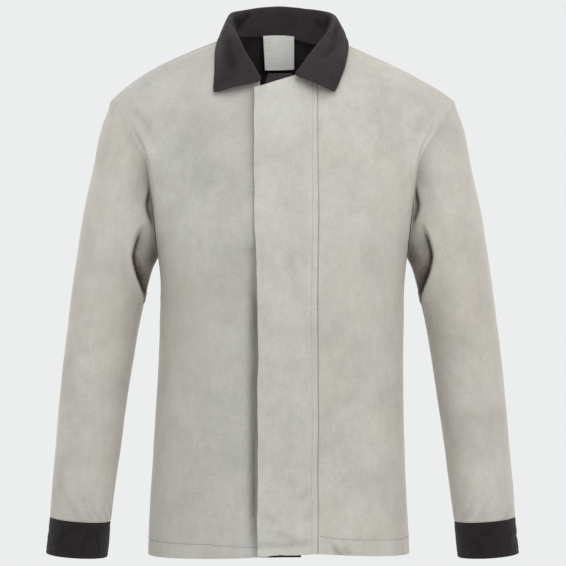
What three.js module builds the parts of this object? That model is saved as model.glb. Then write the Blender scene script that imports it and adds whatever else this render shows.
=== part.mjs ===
// Welding jacket as it is worn: split-leather fronts, storm flap and sleeves, with a dark cotton back,
// collar, cuffs and front strip. Millimetres, +Z up; the front faces -Y and +X is the wearer's left.
// The origin is the nape, the middle of the back neck seam, where the wearer carries the jacket.
import * as THREE from "three";

// Driving dimensions
const LEATHER = 1.6; // split-leather wall
const COTTON = 1.2; // one layer of the dark cotton
const DOUBLED = 2.4; // cotton sewn double, as in the collar and cuffs
const LABEL = 1.0; // folded label tape
const SEAM_GAP = 0.4; // between two pieces sewn edge to edge
const CREASE_GAP = 1.0; // between the sleeve head and the armhole, where the walls meet at an angle
const SEAM_INSET = 0.0022; // share of a panel's width that its edge keeps from the seam
const RIGHT = -1; // wearer's right side, -X
const LEFT = 1; // wearer's left side, +X

// Grid of each piece: panel columns and rows, rings of a sleeve, and so on
const PANEL_COLUMNS = 12;
const TRUNK_ROWS = 11; // hem to underarm
const YOKE_ROWS = 11; // underarm to shoulder seam
const SLEEVE_RINGS = 18;
const CUFF_RINGS = 2;
const COLLAR_COLUMNS = 30;
const COLLAR_ROWS = 10;

// Trunk sections from the hem to the underarm: half widths of the two sides and the side seam's depth
const TRUNK = [
  { name: "hem", z: -758, right: 195, left: 184, seam: 8 },
  { name: "hip", z: -640, right: 189, left: 178, seam: 8 },
  { name: "waist", z: -480, right: 180, left: 175, seam: 7 },
  { name: "ribs", z: -385, right: 177, left: 175, seam: 4 },
  { name: "below the underarm", z: -356, right: 176.8, left: 176.8, seam: 2 },
  { name: "underarm", z: -328, right: 180, left: 180, seam: 0 },
];

// Height of the hem at the front edge, at the side seam and at the middle of the back
const HEM = {
  right: { edge: -750.5, side: -756.5 },
  left: { edge: -746, side: -755 },
  back: -752,
};
const BOXINESS = 2.6; // exponent of the trunk's rounded sections; 2 is an ellipse

// Depth of the middle of the front and of the back, by height
const CENTRE = [
  { z: -758, front: 110, back: 120 },
  { z: -640, front: 114, back: 116 },
  { z: -480, front: 117, back: 106 },
  { z: -385, front: 124, back: 116 },
  { z: -298, front: 128, back: 131 },
  { z: -235, front: 124, back: 138 },
  { z: -170, front: 113, back: 136 },
  { z: -112, front: 96, back: 124 },
  { z: -79, front: 83, back: 113 },
  { z: -40, front: 66, back: 95 },
  { z: 0, front: 48, back: 72 },
];

// Armhole seam, every 45 degrees from the shoulder point round the front and the underarm
const ARMHOLE = [
  { name: "shoulder point", out: 250, y: 12, z: -101 },
  { name: "front of the shoulder", out: 222, y: -48, z: -146 },
  { name: "front", out: 195, y: -76, z: -192 },
  { name: "front of the underarm", out: 184.5, y: -56, z: -270 },
  { name: "underarm", out: 180, y: 0, z: -328 },
  { name: "back of the underarm", out: 184.5, y: 58, z: -270 },
  { name: "back", out: 206, y: 88, z: -192 },
  { name: "back of the shoulder", out: 232, y: 62, z: -142 },
];

// Neck seam from the nape to each front end; the middle row is where it crosses the shoulder seam
const NECK = [
  { name: "nape", right: [0, 72, 0], left: [0, 72, 0] },
  { name: "back side", right: [-51, 51, -2], left: [50, 51, -4] },
  { name: "shoulder seam", right: [-78, 12, -8], left: [76, 12, -12] },
  { name: "front side", right: [-67, -40, -42], left: [66, -40, -44] },
  { name: "front end", right: [-32, -79, -80], left: [18, -86, -71] },
];
const NECK_AT_SHOULDER = 0.5; // share of the neck curve from the nape to the shoulder seam

// Front edges: the right front runs on under the flap, and the left front stops at the flap seam
const RIGHT_EDGE_AT_HEM = -21;
const FLAP_SEAM_X = 51.5;
const SHOULDER_SLUMP = { right: 0.29, left: 0.15 }; // how much the shoulder line rounds over at its outer end
const TURN_AT_SHOULDER = 6; // degrees that a section turns to the side at the shoulder seam
const TURN_AT_SIDE = 90;
const EASE = 1.5; // rows gather towards the underarm corner
const CORNER_ROWS = { front: 7, back: 8 }; // rows of the yoke below the neck corner

// Flap: its free edge and how far that stands off the right front, by height
const FLAP = [
  { z: -748, x: -35, lift: 8 },
  { z: -690, x: -34.5, lift: 9.5 },
  { z: -560, x: -34, lift: 9.5 },
  { z: -400, x: -34.5, lift: 8 },
  { z: -330, x: -36.5, lift: 6 },
  { z: -270, x: -39, lift: 4.5 },
  { z: -90, x: -39.5, lift: 4.5 },
];
const FLAP_TOP = -90; // heights of the free edge's ends
const FLAP_BOTTOM = -748;
const FLAP_SEAM_SHARE = 0.99; // share of the left front's edge that the flap is sewn to
const STRIP = { free: 26, freeTop: 14, topRise: 18, topDip: 7, topFrom: 0.12, topTo: 0.32, sink: 3 };

// Sleeve sections below the armhole: centre, half width across the front view, half depth, tilt in degrees
const SLEEVE = [
  { name: "sleeve head", x: 235, y: 4, z: -290, half: 71, depth: 80, tilt: 48 },
  { name: "upper arm", x: 245.5, y: 2, z: -345, half: 55, depth: 74, tilt: 16 },
  { name: "above the elbow", x: 259, y: -3, z: -425, half: 51.2, depth: 66, tilt: 9 },
  { name: "elbow", x: 269.5, y: -8, z: -500, half: 49.2, depth: 60, tilt: 8 },
  { name: "forearm", x: 280.7, y: -16, z: -605, half: 46.6, depth: 53, tilt: 7 },
  { name: "above the cuff", x: 287.8, y: -22, z: -672, half: 44.8, depth: 48.5, tilt: 7 },
  { name: "cuff seam", x: 290.8, y: -25, z: -705, half: 43.8, depth: 46, tilt: 4.5 },
];
const CUFF_END = { x: 295.5, y: -29, z: -756, half: 44.2, depth: 45.5, tilt: 4 };

// Collar stations from the right front end round the neck, on the rows of NECK: roll line and outer edge
const COLLAR = [
  { name: "right end", roll: [-30.5, -88, -78.5], edge: [-99.4, -73, -95.3], bulge: 3 },
  { name: "right front", roll: [-59, -53, -25], edge: [-98.5, -53.5, -69], bulge: 2 },
  { name: "right side", roll: [-76, 8, 21], edge: [-92, 11, -9], bulge: 1 },
  { name: "right back", roll: [-55, 53, 35], edge: [-63, 69, -8], bulge: 2 },
  { name: "nape", roll: [0, 70, 42], edge: [0, 83, -9], bulge: 2 },
  { name: "left back", roll: [56, 53, 34], edge: [62, 67, -9], bulge: 2 },
  { name: "left side", roll: [76, 6, 18], edge: [94, 11, -13], bulge: 1 },
  { name: "left front", roll: [51, -54, -26], edge: [91.5, -43, -52], bulge: 2 },
  { name: "left end", roll: [18, -92, -70], edge: [75.3, -70.5, -95.8], bulge: 3 },
];
const ROLL_RADIUS = 4.5;
const COLLAR_LIFT = 0.9; // gap between the neck edge of the panels and the collar

// Soft folds as they show from the front: a line from (x0, z0) to (x1, z1), its half width and its depth inwards
const RIGHT_FRONT_FOLDS = [
  { name: "dent beside the flap", x0: -52, z0: -330, x1: -50, z1: -760, half: 22, depth: 7 },
  { name: "armhole crease", x0: -226, z0: -108, x1: -186, z1: -162, half: 14, depth: 3 },
  { name: "side hollow", x0: -150, z0: -420, x1: -120, z1: -560, half: 40, depth: 4 },
  { name: "chest hollow", x0: -120, z0: -190, x1: -95, z1: -260, half: 34, depth: 3 },
];
const LEFT_FRONT_FOLDS = [
  { name: "armhole crease", x0: 226, z0: -108, x1: 186, z1: -162, half: 14, depth: 3 },
  { name: "drag line to the hem", x0: 66, z0: -560, x1: 120, z1: -690, half: 20, depth: 4 },
  { name: "chest hollow", x0: 150, z0: -170, x1: 110, z1: -250, half: 36, depth: 3 },
];
const SLEEVE_FOLDS = [
  { name: "valley along the armhole", x0: 214, z0: -165, x1: 196, z1: -236, half: 11, depth: 6 },
  { name: "upper armpit fold", x0: 196, z0: -232, x1: 194, z1: -282, half: 10, depth: 9 },
  { name: "lower armpit fold", x0: 212, z0: -322, x1: 199, z1: -386, half: 14, depth: 11 },
  { name: "elbow crease", x0: 244, z0: -452, x1: 292, z1: -478, half: 13, depth: 3 },
  { name: "forearm crease", x0: 262, z0: -560, x1: 306, z1: -586, half: 13, depth: 2.5 },
];

const LABEL_TAPE = { left: -28, right: 18, top: -1.5, bottom: -54, y: 67, curve: 0.0105, lean: 5 };

const leather = new THREE.MeshStandardMaterial({ color: 0xbfbcb4, roughness: 0.95, metalness: 0 });
const cotton = new THREE.MeshStandardMaterial({ color: 0x393536, roughness: 0.9, metalness: 0 });
const tape = new THREE.MeshStandardMaterial({ color: 0xd9d8d2, roughness: 0.7, metalness: 0 });

const clamp01 = (x) => THREE.MathUtils.clamp(x, 0, 1);
const lerp = THREE.MathUtils.lerp;
const smooth = (x) => THREE.MathUtils.smoothstep(x, 0, 1);
const radians = THREE.MathUtils.degToRad;
const vector = (p) => new THREE.Vector3(...p);

// A smooth function of one table column against another, which rises from row to row.
function column(rows, at, key) {
  const x = rows.map((row) => row[at]);
  const y = rows.map((row) => row[key]);
  const slope = x.map((_, i) => {
    const low = Math.max(i - 1, 0);
    const high = Math.min(i + 1, x.length - 1);
    return (y[high] - y[low]) / (x[high] - x[low]);
  });
  return (at_x) => {
    let i = 0;
    while (i < x.length - 2 && at_x > x[i + 1]) i += 1;
    const width = x[i + 1] - x[i];
    const t = clamp01((at_x - x[i]) / width);
    const rise = (y[i + 1] - y[i]) / width;
    const bend = (slope[i] - rise) * (1 - t) - (slope[i + 1] - rise) * t;
    return lerp(y[i], y[i + 1], t) + width * t * (1 - t) * bend;
  };
}

const frontDepth = column(CENTRE, "z", "front");
const backDepth = column(CENTRE, "z", "back");
const seamDepth = column(TRUNK, "z", "seam");
const halfWidth = { [RIGHT]: column(TRUNK, "z", "right"), [LEFT]: column(TRUNK, "z", "left") };
const flapLift = column(FLAP, "z", "lift");
const flapEdge = column(FLAP, "z", "x");
const UNDERARM_Z = TRUNK.at(-1).z;
const sideName = (side) => (side === RIGHT ? "right" : "left");

const armholeCurve = {};
const neckCurve = {};
for (const side of [RIGHT, LEFT]) {
  const loop = ARMHOLE.map((p) => new THREE.Vector3(side * p.out, p.y, p.z));
  armholeCurve[side] = new THREE.CatmullRomCurve3(loop, true, "catmullrom");
  neckCurve[side] = new THREE.CatmullRomCurve3(NECK.map((p) => vector(p[sideName(side)])));
}
const armhole = (side, degrees) => armholeCurve[side].getPoint((((degrees % 360) + 360) % 360) / 360);

// How far a list of folds pushes a point inwards, by its distance from each fold's line in the front view.
function foldDepth(folds, x, z) {
  let depth = 0;
  for (const fold of folds) {
    const [dx, dz] = [fold.x1 - fold.x0, fold.z1 - fold.z0];
    const along = ((x - fold.x0) * dx + (z - fold.z0) * dz) / (dx * dx + dz * dz);
    const t = clamp01(along);
    const away = Math.hypot(x - fold.x0 - t * dx, z - fold.z0 - t * dz);
    depth += fold.depth * Math.exp(-((away / fold.half) ** 2));
  }
  return depth;
}

// An open sheet of quads: point(u, v) over a grid, each from 0 to 1. A ring closes in u.
function sheet(columns, rows, point, ring = false) {
  const points = [];
  const quads = [];
  const across = ring ? columns : columns + 1;
  for (let j = 0; j <= rows; j += 1) {
    for (let i = 0; i < across; i += 1) points.push(point(i / columns, j / rows));
  }
  for (let j = 0; j < rows; j += 1) {
    for (let i = 0; i < columns; i += 1) {
      const next = (i + 1) % across;
      quads.push([j * across + i, j * across + next, (j + 1) * across + next, (j + 1) * across + i]);
    }
  }
  return { points, quads };
}

// Two sheets as one, sharing the points where they meet.
function joined(a, b) {
  const points = [...a.points];
  const place = b.points.map((p) => {
    const same = a.points.findIndex((q) => q.distanceTo(p) < 1e-6);
    return same >= 0 ? same : points.push(p) - 1;
  });
  return { points, quads: [...a.quads, ...b.quads.map((quad) => quad.map((i) => place[i]))] };
}

function turned(surface) {
  return { points: surface.points, quads: surface.quads.map((quad) => [...quad].reverse()) };
}

function normals(surface) {
  const sums = surface.points.map(() => new THREE.Vector3());
  for (const quad of surface.quads) {
    const [a, b, c, d] = quad.map((i) => surface.points[i]);
    const face = c.clone().sub(a).cross(d.clone().sub(b));
    quad.forEach((i) => sums[i].add(face));
  }
  return sums.map((sum) => sum.normalize());
}

// Pushes each point of a sheet inwards along its normal by depth(point).
function pressed(surface, depth) {
  const out = normals(surface);
  const points = surface.points.map((p, i) => p.clone().addScaledVector(out[i], -depth(p, i)));
  return { points, quads: surface.quads };
}

// A closed wall whose outer face is the sheet and whose inner face lies `thickness` behind it.
function wall(surface, thickness) {
  const count = surface.points.length;
  const out = normals(surface);
  const inner = surface.points.map((p, i) => p.clone().addScaledVector(out[i], -thickness));
  const triangles = [];
  const edges = new Map();
  for (const [a, b, c, d] of surface.quads) {
    triangles.push([a, b, c], [a, c, d]);
    triangles.push([a + count, c + count, b + count], [a + count, d + count, c + count]);
    for (const [p, q] of [[a, b], [b, c], [c, d], [d, a]]) {
      if (!edges.delete(`${q} ${p}`)) edges.set(`${p} ${q}`, [p, q]);
    }
  }
  for (const [p, q] of edges.values()) triangles.push([p, p + count, q + count], [p, q + count, q]);
  const geometry = new THREE.BufferGeometry().setFromPoints([...surface.points, ...inner]);
  geometry.setIndex(triangles.flat());
  geometry.computeVertexNormals();
  return geometry;
}

// Share of the left neck curve where it crosses the flap seam.
function neckShareAtFlap() {
  let [low, high] = [NECK_AT_SHOULDER, 1];
  for (let i = 0; i < 40; i += 1) {
    const middle = (low + high) / 2;
    if (neckCurve[LEFT].getPoint(middle).x > FLAP_SEAM_X) low = middle;
    else high = middle;
  }
  return low;
}
const NECK_AT_FLAP = neckShareAtFlap();

// One section of a trunk panel: from the inner edge to the outer edge, turning `turn` radians to the side.
function section({ inner, outer, crown, turn, slump, box }, t) {
  const across = (angle) => Math.sin(angle) ** (2 / box);
  const back = (angle) => 1 - Math.cos(angle) ** (2 / box);
  const reach = outer.x - crown;
  const start = Math.asin(((Math.max(inner.x - crown, 0) || Math.max(crown - inner.x, 0)) / Math.abs(reach)
    * across(turn)) ** (box / 2)) / turn;
  const angle = turn * lerp(start, 1, t);
  const x = crown + (reach * across(angle)) / across(turn);
  const y = inner.y + (outer.y - inner.y) * ((back(angle) - back(start * turn)) / (back(turn) - back(start * turn)));
  const share = clamp01((x - inner.x) / (outer.x - inner.x));
  return new THREE.Vector3(x, y, lerp(inner.z, outer.z, lerp(share, share ** 4, slump)));
}

// Inner edge of a half panel at a height between the hem and the neck corner.
function innerEdge(side, isFront, z) {
  if (!isFront) return new THREE.Vector3(0, backDepth(z), z);
  const neck = neckCurve[RIGHT].getPoint(1);
  const share = clamp01((z - HEM.right.edge) / (neck.z - HEM.right.edge));
  const x = side === RIGHT ? lerp(RIGHT_EDGE_AT_HEM, neck.x, share) : FLAP_SEAM_X;
  const angle = Math.asin(Math.abs(x) / halfWidth[side](z));
  const setBack = 1 - Math.cos(angle) ** (2 / BOXINESS);
  return new THREE.Vector3(x, -frontDepth(z) * (1 - setBack), z);
}

const TRUNK_SHARE = TRUNK_ROWS / (TRUNK_ROWS + YOKE_ROWS);
const cornerShare = (isFront) => (isFront ? CORNER_ROWS.front : CORNER_ROWS.back) / YOKE_ROWS;

// The section at v: 0 is the hem, TRUNK_SHARE the underarm and 1 the shoulder seam.
function trunkRow(side, isFront, v) {
  if (v < TRUNK_SHARE) {
    const climb = v / TRUNK_SHARE;
    const hem = HEM[sideName(side)];
    const z = lerp(isFront ? hem.edge : HEM.back, UNDERARM_Z, climb);
    const seamZ = lerp(hem.side, UNDERARM_Z, 1 - (1 - climb) ** EASE);
    const outer = new THREE.Vector3(side * halfWidth[side](seamZ), seamDepth(seamZ), seamZ);
    return { inner: innerEdge(side, isFront, z), outer, crown: 0, turn: radians(TURN_AT_SIDE), slump: 0, box: BOXINESS };
  }
  const rise = (v - TRUNK_SHARE) / (1 - TRUNK_SHARE);
  const degrees = 180 * (1 - rise ** EASE);
  const corner = isFront ? (side === RIGHT ? 1 : NECK_AT_FLAP) : 0;
  const cornerPoint = neckCurve[side].getPoint(corner);
  const climb = clamp01(rise / cornerShare(isFront));
  const round = clamp01((rise - cornerShare(isFront)) / (1 - cornerShare(isFront)));
  const inner = round > 0
    ? neckCurve[side].getPoint(lerp(corner, NECK_AT_SHOULDER, round))
    : innerEdge(side, isFront, lerp(UNDERARM_Z, cornerPoint.z, climb));
  if (round === 0) inner.y = lerp(inner.y, cornerPoint.y, climb ** 3);
  return {
    inner,
    outer: armhole(side, isFront ? degrees : -degrees),
    crown: inner.x * smooth(climb),
    turn: radians(lerp(TURN_AT_SHOULDER, TURN_AT_SIDE, degrees / 180)),
    slump: SHOULDER_SLUMP[sideName(side)] * rise,
    box: lerp(BOXINESS, 2, smooth(rise)),
  };
}

// A half panel of the trunk, front or back, from the hem to the shoulder seam.
function trunkHalf(side, isFront) {
  const inset = (share) => lerp(SEAM_INSET, 1 - SEAM_INSET, share);
  const surface = sheet(PANEL_COLUMNS, TRUNK_ROWS + YOKE_ROWS, (u, v) => {
    const row = trunkRow(side, isFront, v < 1 ? v : inset(1));
    return section(row, isFront ? inset(u) : u * inset(1));
  });
  return (side === LEFT) === isFront ? surface : turned(surface);
}

// Outer face of the trunk's front near the middle, where the flap and the strip lie on it.
function chest(x, z) {
  const angle = Math.asin(Math.abs(x) / 187);
  return -frontDepth(z) * Math.cos(angle) ** (2 / BOXINESS) + foldDepth(RIGHT_FRONT_FOLDS, x, z);
}

// The flap starts on the left front's inner edge and stands off the right front at its free edge.
function stormFlap() {
  const rows = TRUNK_ROWS + CORNER_ROWS.front;
  const cornerV = rows / (TRUNK_ROWS + YOKE_ROWS);
  return sheet(6, rows, (u, v) => {
    const seam = section(trunkRow(LEFT, true, v * cornerV * FLAP_SEAM_SHARE), 0);
    const freeZ = lerp(FLAP_BOTTOM, FLAP_TOP, v);
    const free = new THREE.Vector3(flapEdge(freeZ), -frontDepth(freeZ) - flapLift(freeZ), freeZ);
    const point = seam.setX(seam.x - SEAM_GAP).lerp(free, u);
    const flat = -frontDepth(point.z) - flapLift(point.z) * u;
    return point.setY(lerp(point.y, flat, smooth(2.5 * u)));
  });
}

// The strip starts on the right front's inner edge, row for row, and lies a little deeper under the flap.
function frontStrip() {
  const rows = TRUNK_ROWS + CORNER_ROWS.front;
  const cornerV = rows / (TRUNK_ROWS + YOKE_ROWS);
  return sheet(6, rows, (u, v) => {
    const sewn = section(trunkRow(RIGHT, true, v * cornerV), 0);
    const x = lerp(sewn.x, lerp(STRIP.free, STRIP.freeTop, v ** 4), u);
    const rise = STRIP.topRise * smooth((u - STRIP.topFrom) / (STRIP.topTo - STRIP.topFrom)) - STRIP.topDip;
    const z = sewn.z + rise * v ** 8;
    const atSeam = sewn.y + foldDepth(RIGHT_FRONT_FOLDS, sewn.x, sewn.z) - chest(sewn.x, sewn.z);
    return new THREE.Vector3(x, chest(x, z) + STRIP.sink * smooth(2 * u) + atSeam * (1 - u), z);
  });
}

// Ring of a sleeve or cuff. Angles run as on the armhole: 0 outside, 90 in front, 180 towards the body.
function ringPoint(side, ring, degrees) {
  const [c, s] = [Math.cos(radians(degrees)), Math.sin(radians(degrees))];
  const tilt = radians(ring.tilt);
  const out = ring.x + ring.half * c * Math.cos(tilt);
  return new THREE.Vector3(side * out, ring.y - ring.depth * s, ring.z + ring.half * c * Math.sin(tilt));
}

// Angles of the sleeve's columns, the same as the rows of the panels along the armhole.
const SLEEVE_ANGLES = [];
for (let i = YOKE_ROWS; i > 0; i -= 1) SLEEVE_ANGLES.push(180 * (1 - (i / YOKE_ROWS) ** EASE));
for (let i = 0; i < YOKE_ROWS; i += 1) SLEEVE_ANGLES.push(180 * (1 + (i / YOKE_ROWS) ** EASE));

function sleeve(side) {
  const count = SLEEVE_ANGLES.length;
  const paths = SLEEVE_ANGLES.map((degrees) => {
    const start = armhole(side, degrees);
    return new THREE.CatmullRomCurve3([start, ...SLEEVE.map((ring) => ringPoint(side, ring, degrees))]);
  });
  const surface = sheet(count, SLEEVE_RINGS, (u, v) => {
    const path = paths[Math.round(u * count) % count];
    const long = path.getLength();
    return path.getPointAt(lerp(CREASE_GAP / long, 1 - SEAM_GAP / 2 / long, v));
  }, true);
  const folds = SLEEVE_FOLDS.map((fold) => ({ ...fold, x0: side * fold.x0, x1: side * fold.x1 }));
  return pressed(side === RIGHT ? turned(surface) : surface, (p, i) => {
    const ring = Math.floor(i / count);
    const fromEnds = smooth(ring / 3) * smooth((SLEEVE_RINGS - ring) / 2);
    return p.y < SLEEVE[0].y ? foldDepth(folds, p.x, p.z) * fromEnds : 0;
  });
}

function cuff(side) {
  const count = SLEEVE_ANGLES.length;
  const surface = sheet(count, CUFF_RINGS, (u, v) => {
    const degrees = SLEEVE_ANGLES[Math.round(u * count) % count];
    const top = ringPoint(side, SLEEVE.at(-1), degrees);
    return top.lerp(ringPoint(side, CUFF_END, degrees), lerp(0.008, 1, v));
  }, true);
  return side === RIGHT ? turned(surface) : surface;
}

function collar() {
  const line = (key) => new THREE.CatmullRomCurve3(COLLAR.map((station) => vector(station[key])));
  const [roll, edge] = ["roll", "edge"].map(line);
  const neckSeam = (u) => (u < 0.5 ? neckCurve[RIGHT].getPoint(1 - 2 * u) : neckCurve[LEFT].getPoint(2 * u - 1));
  const bulge = column(COLLAR.map((station, at) => ({ at, bulge: station.bulge })), "at", "bulge");
  return sheet(COLLAR_COLUMNS, COLLAR_ROWS, (u, v) => {
    const n = neckSeam(u).add(new THREE.Vector3(0, 0, COLLAR_LIFT));
    const [r, e] = [roll, edge].map((curve) => curve.getPoint(u));
    const out = new THREE.Vector3(r.x, r.y - NECK[2].right[1], 0).normalize();
    const inside = r.clone().addScaledVector(out, -ROLL_RADIUS / 2);
    const outside = r.clone().addScaledVector(out, ROLL_RADIUS).setZ(r.z - ROLL_RADIUS / 2);
    const fall = outside.clone().lerp(e, 0.5).addScaledVector(out, bulge(u * (COLLAR.length - 1)));
    const stand = n.clone().lerp(inside, 0.5);
    const top = r.clone().addScaledVector(out, ROLL_RADIUS / 3).setZ(r.z + ROLL_RADIUS / 3);
    return new THREE.CatmullRomCurve3([n, stand, inside, top, outside, fall, e]).getPoint(v);
  });
}

// The label hangs inside the back from the neck seam and follows the seam's curve.
function neckLabel() {
  return turned(sheet(4, 4, (u, v) => {
    const x = lerp(LABEL_TAPE.left, LABEL_TAPE.right, u);
    const y = LABEL_TAPE.y - LABEL_TAPE.curve * x * x + LABEL_TAPE.lean * (1 - v);
    return new THREE.Vector3(x, y, lerp(LABEL_TAPE.bottom, LABEL_TAPE.top, v));
  }));
}

function piece(name, geometry, material) {
  const mesh = new THREE.Mesh(geometry, material);
  mesh.name = name;
  return mesh;
}

const jacket = new THREE.Group();
jacket.name = "welding_jacket";
const rightFront = pressed(trunkHalf(RIGHT, true), (p) => foldDepth(RIGHT_FRONT_FOLDS, p.x, p.z));
const leftFront = pressed(trunkHalf(LEFT, true), (p) => foldDepth(LEFT_FRONT_FOLDS, p.x, p.z));
jacket.add(piece("front_right", wall(rightFront, LEATHER), leather));
jacket.add(piece("front_left", wall(leftFront, LEATHER), leather));
jacket.add(piece("back", wall(joined(trunkHalf(RIGHT, false), trunkHalf(LEFT, false)), COTTON), cotton));
for (const side of [RIGHT, LEFT]) {
  jacket.add(piece(`sleeve_${sideName(side)}`, wall(sleeve(side), LEATHER), leather));
  jacket.add(piece(`cuff_${sideName(side)}`, wall(cuff(side), DOUBLED), cotton));
}
jacket.add(piece("storm_flap", wall(turned(stormFlap()), LEATHER), leather));
jacket.add(piece("front_strip", wall(frontStrip(), COTTON), cotton));
jacket.add(piece("collar", wall(collar(), DOUBLED), cotton));
jacket.add(piece("neck_label", wall(neckLabel(), LABEL), tape));

export default jacket;
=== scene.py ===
"""Welding jacket as it is worn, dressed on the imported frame.

The front faces -Y, +X is the wearer's left, +Z is up and the origin is the nape of the neck. Tables and
grids are in millimetres, and finished meshes are in metres.
"""
from __future__ import annotations

import logging
import math
from dataclasses import dataclass
from enum import Enum
from typing import NamedTuple

import bpy
import numpy as np
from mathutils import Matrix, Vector, noise

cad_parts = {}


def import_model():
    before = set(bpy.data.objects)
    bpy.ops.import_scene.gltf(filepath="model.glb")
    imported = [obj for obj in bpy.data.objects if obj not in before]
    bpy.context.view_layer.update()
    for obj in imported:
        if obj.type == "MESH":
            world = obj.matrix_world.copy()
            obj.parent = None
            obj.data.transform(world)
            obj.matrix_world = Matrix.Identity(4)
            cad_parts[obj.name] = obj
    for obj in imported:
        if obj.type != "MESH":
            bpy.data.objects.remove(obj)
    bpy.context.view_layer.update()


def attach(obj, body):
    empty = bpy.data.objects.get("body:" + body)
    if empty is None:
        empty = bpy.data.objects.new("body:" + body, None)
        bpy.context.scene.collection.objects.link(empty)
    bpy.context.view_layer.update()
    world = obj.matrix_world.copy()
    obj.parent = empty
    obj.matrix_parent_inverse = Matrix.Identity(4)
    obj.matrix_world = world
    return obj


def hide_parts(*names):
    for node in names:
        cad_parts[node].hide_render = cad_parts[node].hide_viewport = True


MM = 0.001
Array = np.ndarray
Colour = tuple[float, float, float, float]
Socket = bpy.types.NodeSocket
log = logging.getLogger("welding_jacket")


class Side(Enum):
    """Side of the wearer."""

    RIGHT = -1
    LEFT = 1

    @property
    def label(self) -> str:
        """Name of the side in lower case."""
        return self.name.lower()


class Face(Enum):
    """Front or back half of the trunk."""

    FRONT = -1
    BACK = 1


class Edge(Enum):
    """Edge of a sheet's grid."""

    FIRST_COLUMN = "first column"
    LAST_COLUMN = "last column"
    FIRST_ROW = "first row"
    LAST_ROW = "last row"


class Held(Enum):
    """How a sheet is held in its shape."""

    HUNG = "hung"
    FOLDED = "folded"


class Slot(Enum):
    """Material slots of the record."""

    LEATHER = "split_leather"
    COTTON = "dark_cotton"
    TAPE = "label_tape"


class TrunkLevel(NamedTuple):
    """Half widths of the two sides and the depth of the side seam at one height."""

    z: float
    right: float
    left: float
    seam: float


class MiddleLevel(NamedTuple):
    """Depth of the middle of the front and of the back at one height."""

    z: float
    front: float
    back: float


class ArmholeStation(NamedTuple):
    """Point of the armhole seam, as a distance out from the middle."""

    name: str
    out: float
    y: float
    z: float


class NeckStation(NamedTuple):
    """Point of the neck seam on each side."""

    name: str
    right: tuple[float, float, float]
    left: tuple[float, float, float]


class FlapLevel(NamedTuple):
    """Free edge of the flap at one height: its x and how far it stands off the right front."""

    z: float
    x: float
    lift: float


class SleeveRing(NamedTuple):
    """Section of a sleeve: its centre, half width, half depth and tilt in degrees."""

    name: str
    x: float
    y: float
    z: float
    half: float
    depth: float
    tilt: float


class CollarStation(NamedTuple):
    """Roll line and outer edge of the collar at one place round the neck."""

    name: str
    roll: tuple[float, float, float]
    edge: tuple[float, float, float]
    bulge: float


class Ripple(NamedTuple):
    """Soft waves in a sheet: how high they stand, how wide they are, and the seed of their pattern."""

    height: float
    width: float
    seed: float


class Fold(NamedTuple):
    """Soft fold along a line of (x, z) points in the front view: its half width, depth and painted shade."""

    name: str
    line: tuple[tuple[float, float], ...]
    half: float
    depth: float
    soil: float = 0.0


class Drop(NamedTuple):
    """Fold whose inner side lies deeper than its outer side, along a falling line of (out, z) points.

    Its last field is painted shade: below the lip, on the lobe, gained further down, and beyond the lobe.
    """

    name: str
    line: tuple[tuple[float, float], ...]
    reach: float
    depth: float
    lean: float
    soil: tuple[float, float, float, float]

    def measures(self, x: Array, z: Array) -> tuple[Array, Array, Array]:
        """What the fold does to the cloth round its line.

        Args:
            x: distance of the points out from the middle.
            z: z of the points.

        Returns:
            How far each point is set back, how much shade is painted there, and how far the lip leans over
            it.
        """
        away, place = from_line(curved(self.line), x, z)
        ends = smooth(np.minimum(place, 1.0 - place) * 4.0)
        edge = smooth((away + 2.0) / 5.0)
        crease = 0.5 * np.exp(-((np.maximum(away - 2.0, 0.0) / 5.0) ** 2))
        lobe = 0.5 * np.exp(-((np.maximum(away - 2.0, 0.0) / self.reach) ** 1.5))
        sunk = self.depth * ends * edge * (crease + lobe)
        below, on_lobe, gain, beyond = self.soil
        band = below * np.exp(-((np.maximum(away - 1.0, 0.0) / 10.0) ** 2))
        spot = on_lobe + gain * smooth((place - 0.2) / 0.4)
        spot *= np.exp(-((np.maximum(away, 0.0) / (2.4 * self.reach)) ** 2))
        far = beyond * smooth((away - 20.0) / 13.0)
        dust = ends * smooth((away + 1.2) / 2.4) * (band + spot + far)
        lean = self.lean * ends * np.exp(-(((away + 2.5) / 6.0) ** 2))
        return sunk, dust, lean


class Seam(NamedTuple):
    """Sewn line at a set distance inside one edge of a sheet, with its groove and puckers.

    Levels add to that distance at lengths along the line, and wander lets it stray a little.
    """

    edge: Edge
    inset: float
    groove: float = 0.5
    pucker: float = 0.3
    pitch: float = 14.0
    reach: float = 9.0
    wander: float = 0.0
    levels: tuple[tuple[float, float], ...] = ((0.0, 0.0),)
    groove_reach: float = 1.3

    @property
    def upright(self) -> bool:
        """Whether the line runs along the columns of the grid."""
        return self.edge in (Edge.FIRST_COLUMN, Edge.LAST_COLUMN)


class Bend(NamedTuple):
    """How the sections of a panel curve, row by row.

    Crown is the x of the top of the curve, turn the angle in radians that it turns through, box its exponent,
    slump how late the height falls towards the outer edge, and level how level it leaves the inner edge, so
    that two halves meet without a ridge.
    """

    crown: Array
    turn: Array
    box: Array
    slump: Array
    level: Array


class Lamp(NamedTuple):
    """Soft square light: where it stands, its width, its watts, and how far red falls behind blue."""

    name: str
    place: tuple[float, float, float]
    size: float
    power: float
    cool: float = 0.0


class ValleyLevel(NamedTuple):
    """How far out the edge of the front shows at one height, and how deep the armhole lies behind it."""

    z: float
    out: float
    depth: float


def blend(a: Array, b: Array, t: Array) -> Array:
    """Value between a and b at the share t."""
    return a + (b - a) * t


def smooth(x: Array) -> Array:
    """Smooth step from 0 to 1."""
    x = np.clip(x, 0.0, 1.0)
    return x * x * (3.0 - 2.0 * x)


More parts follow.
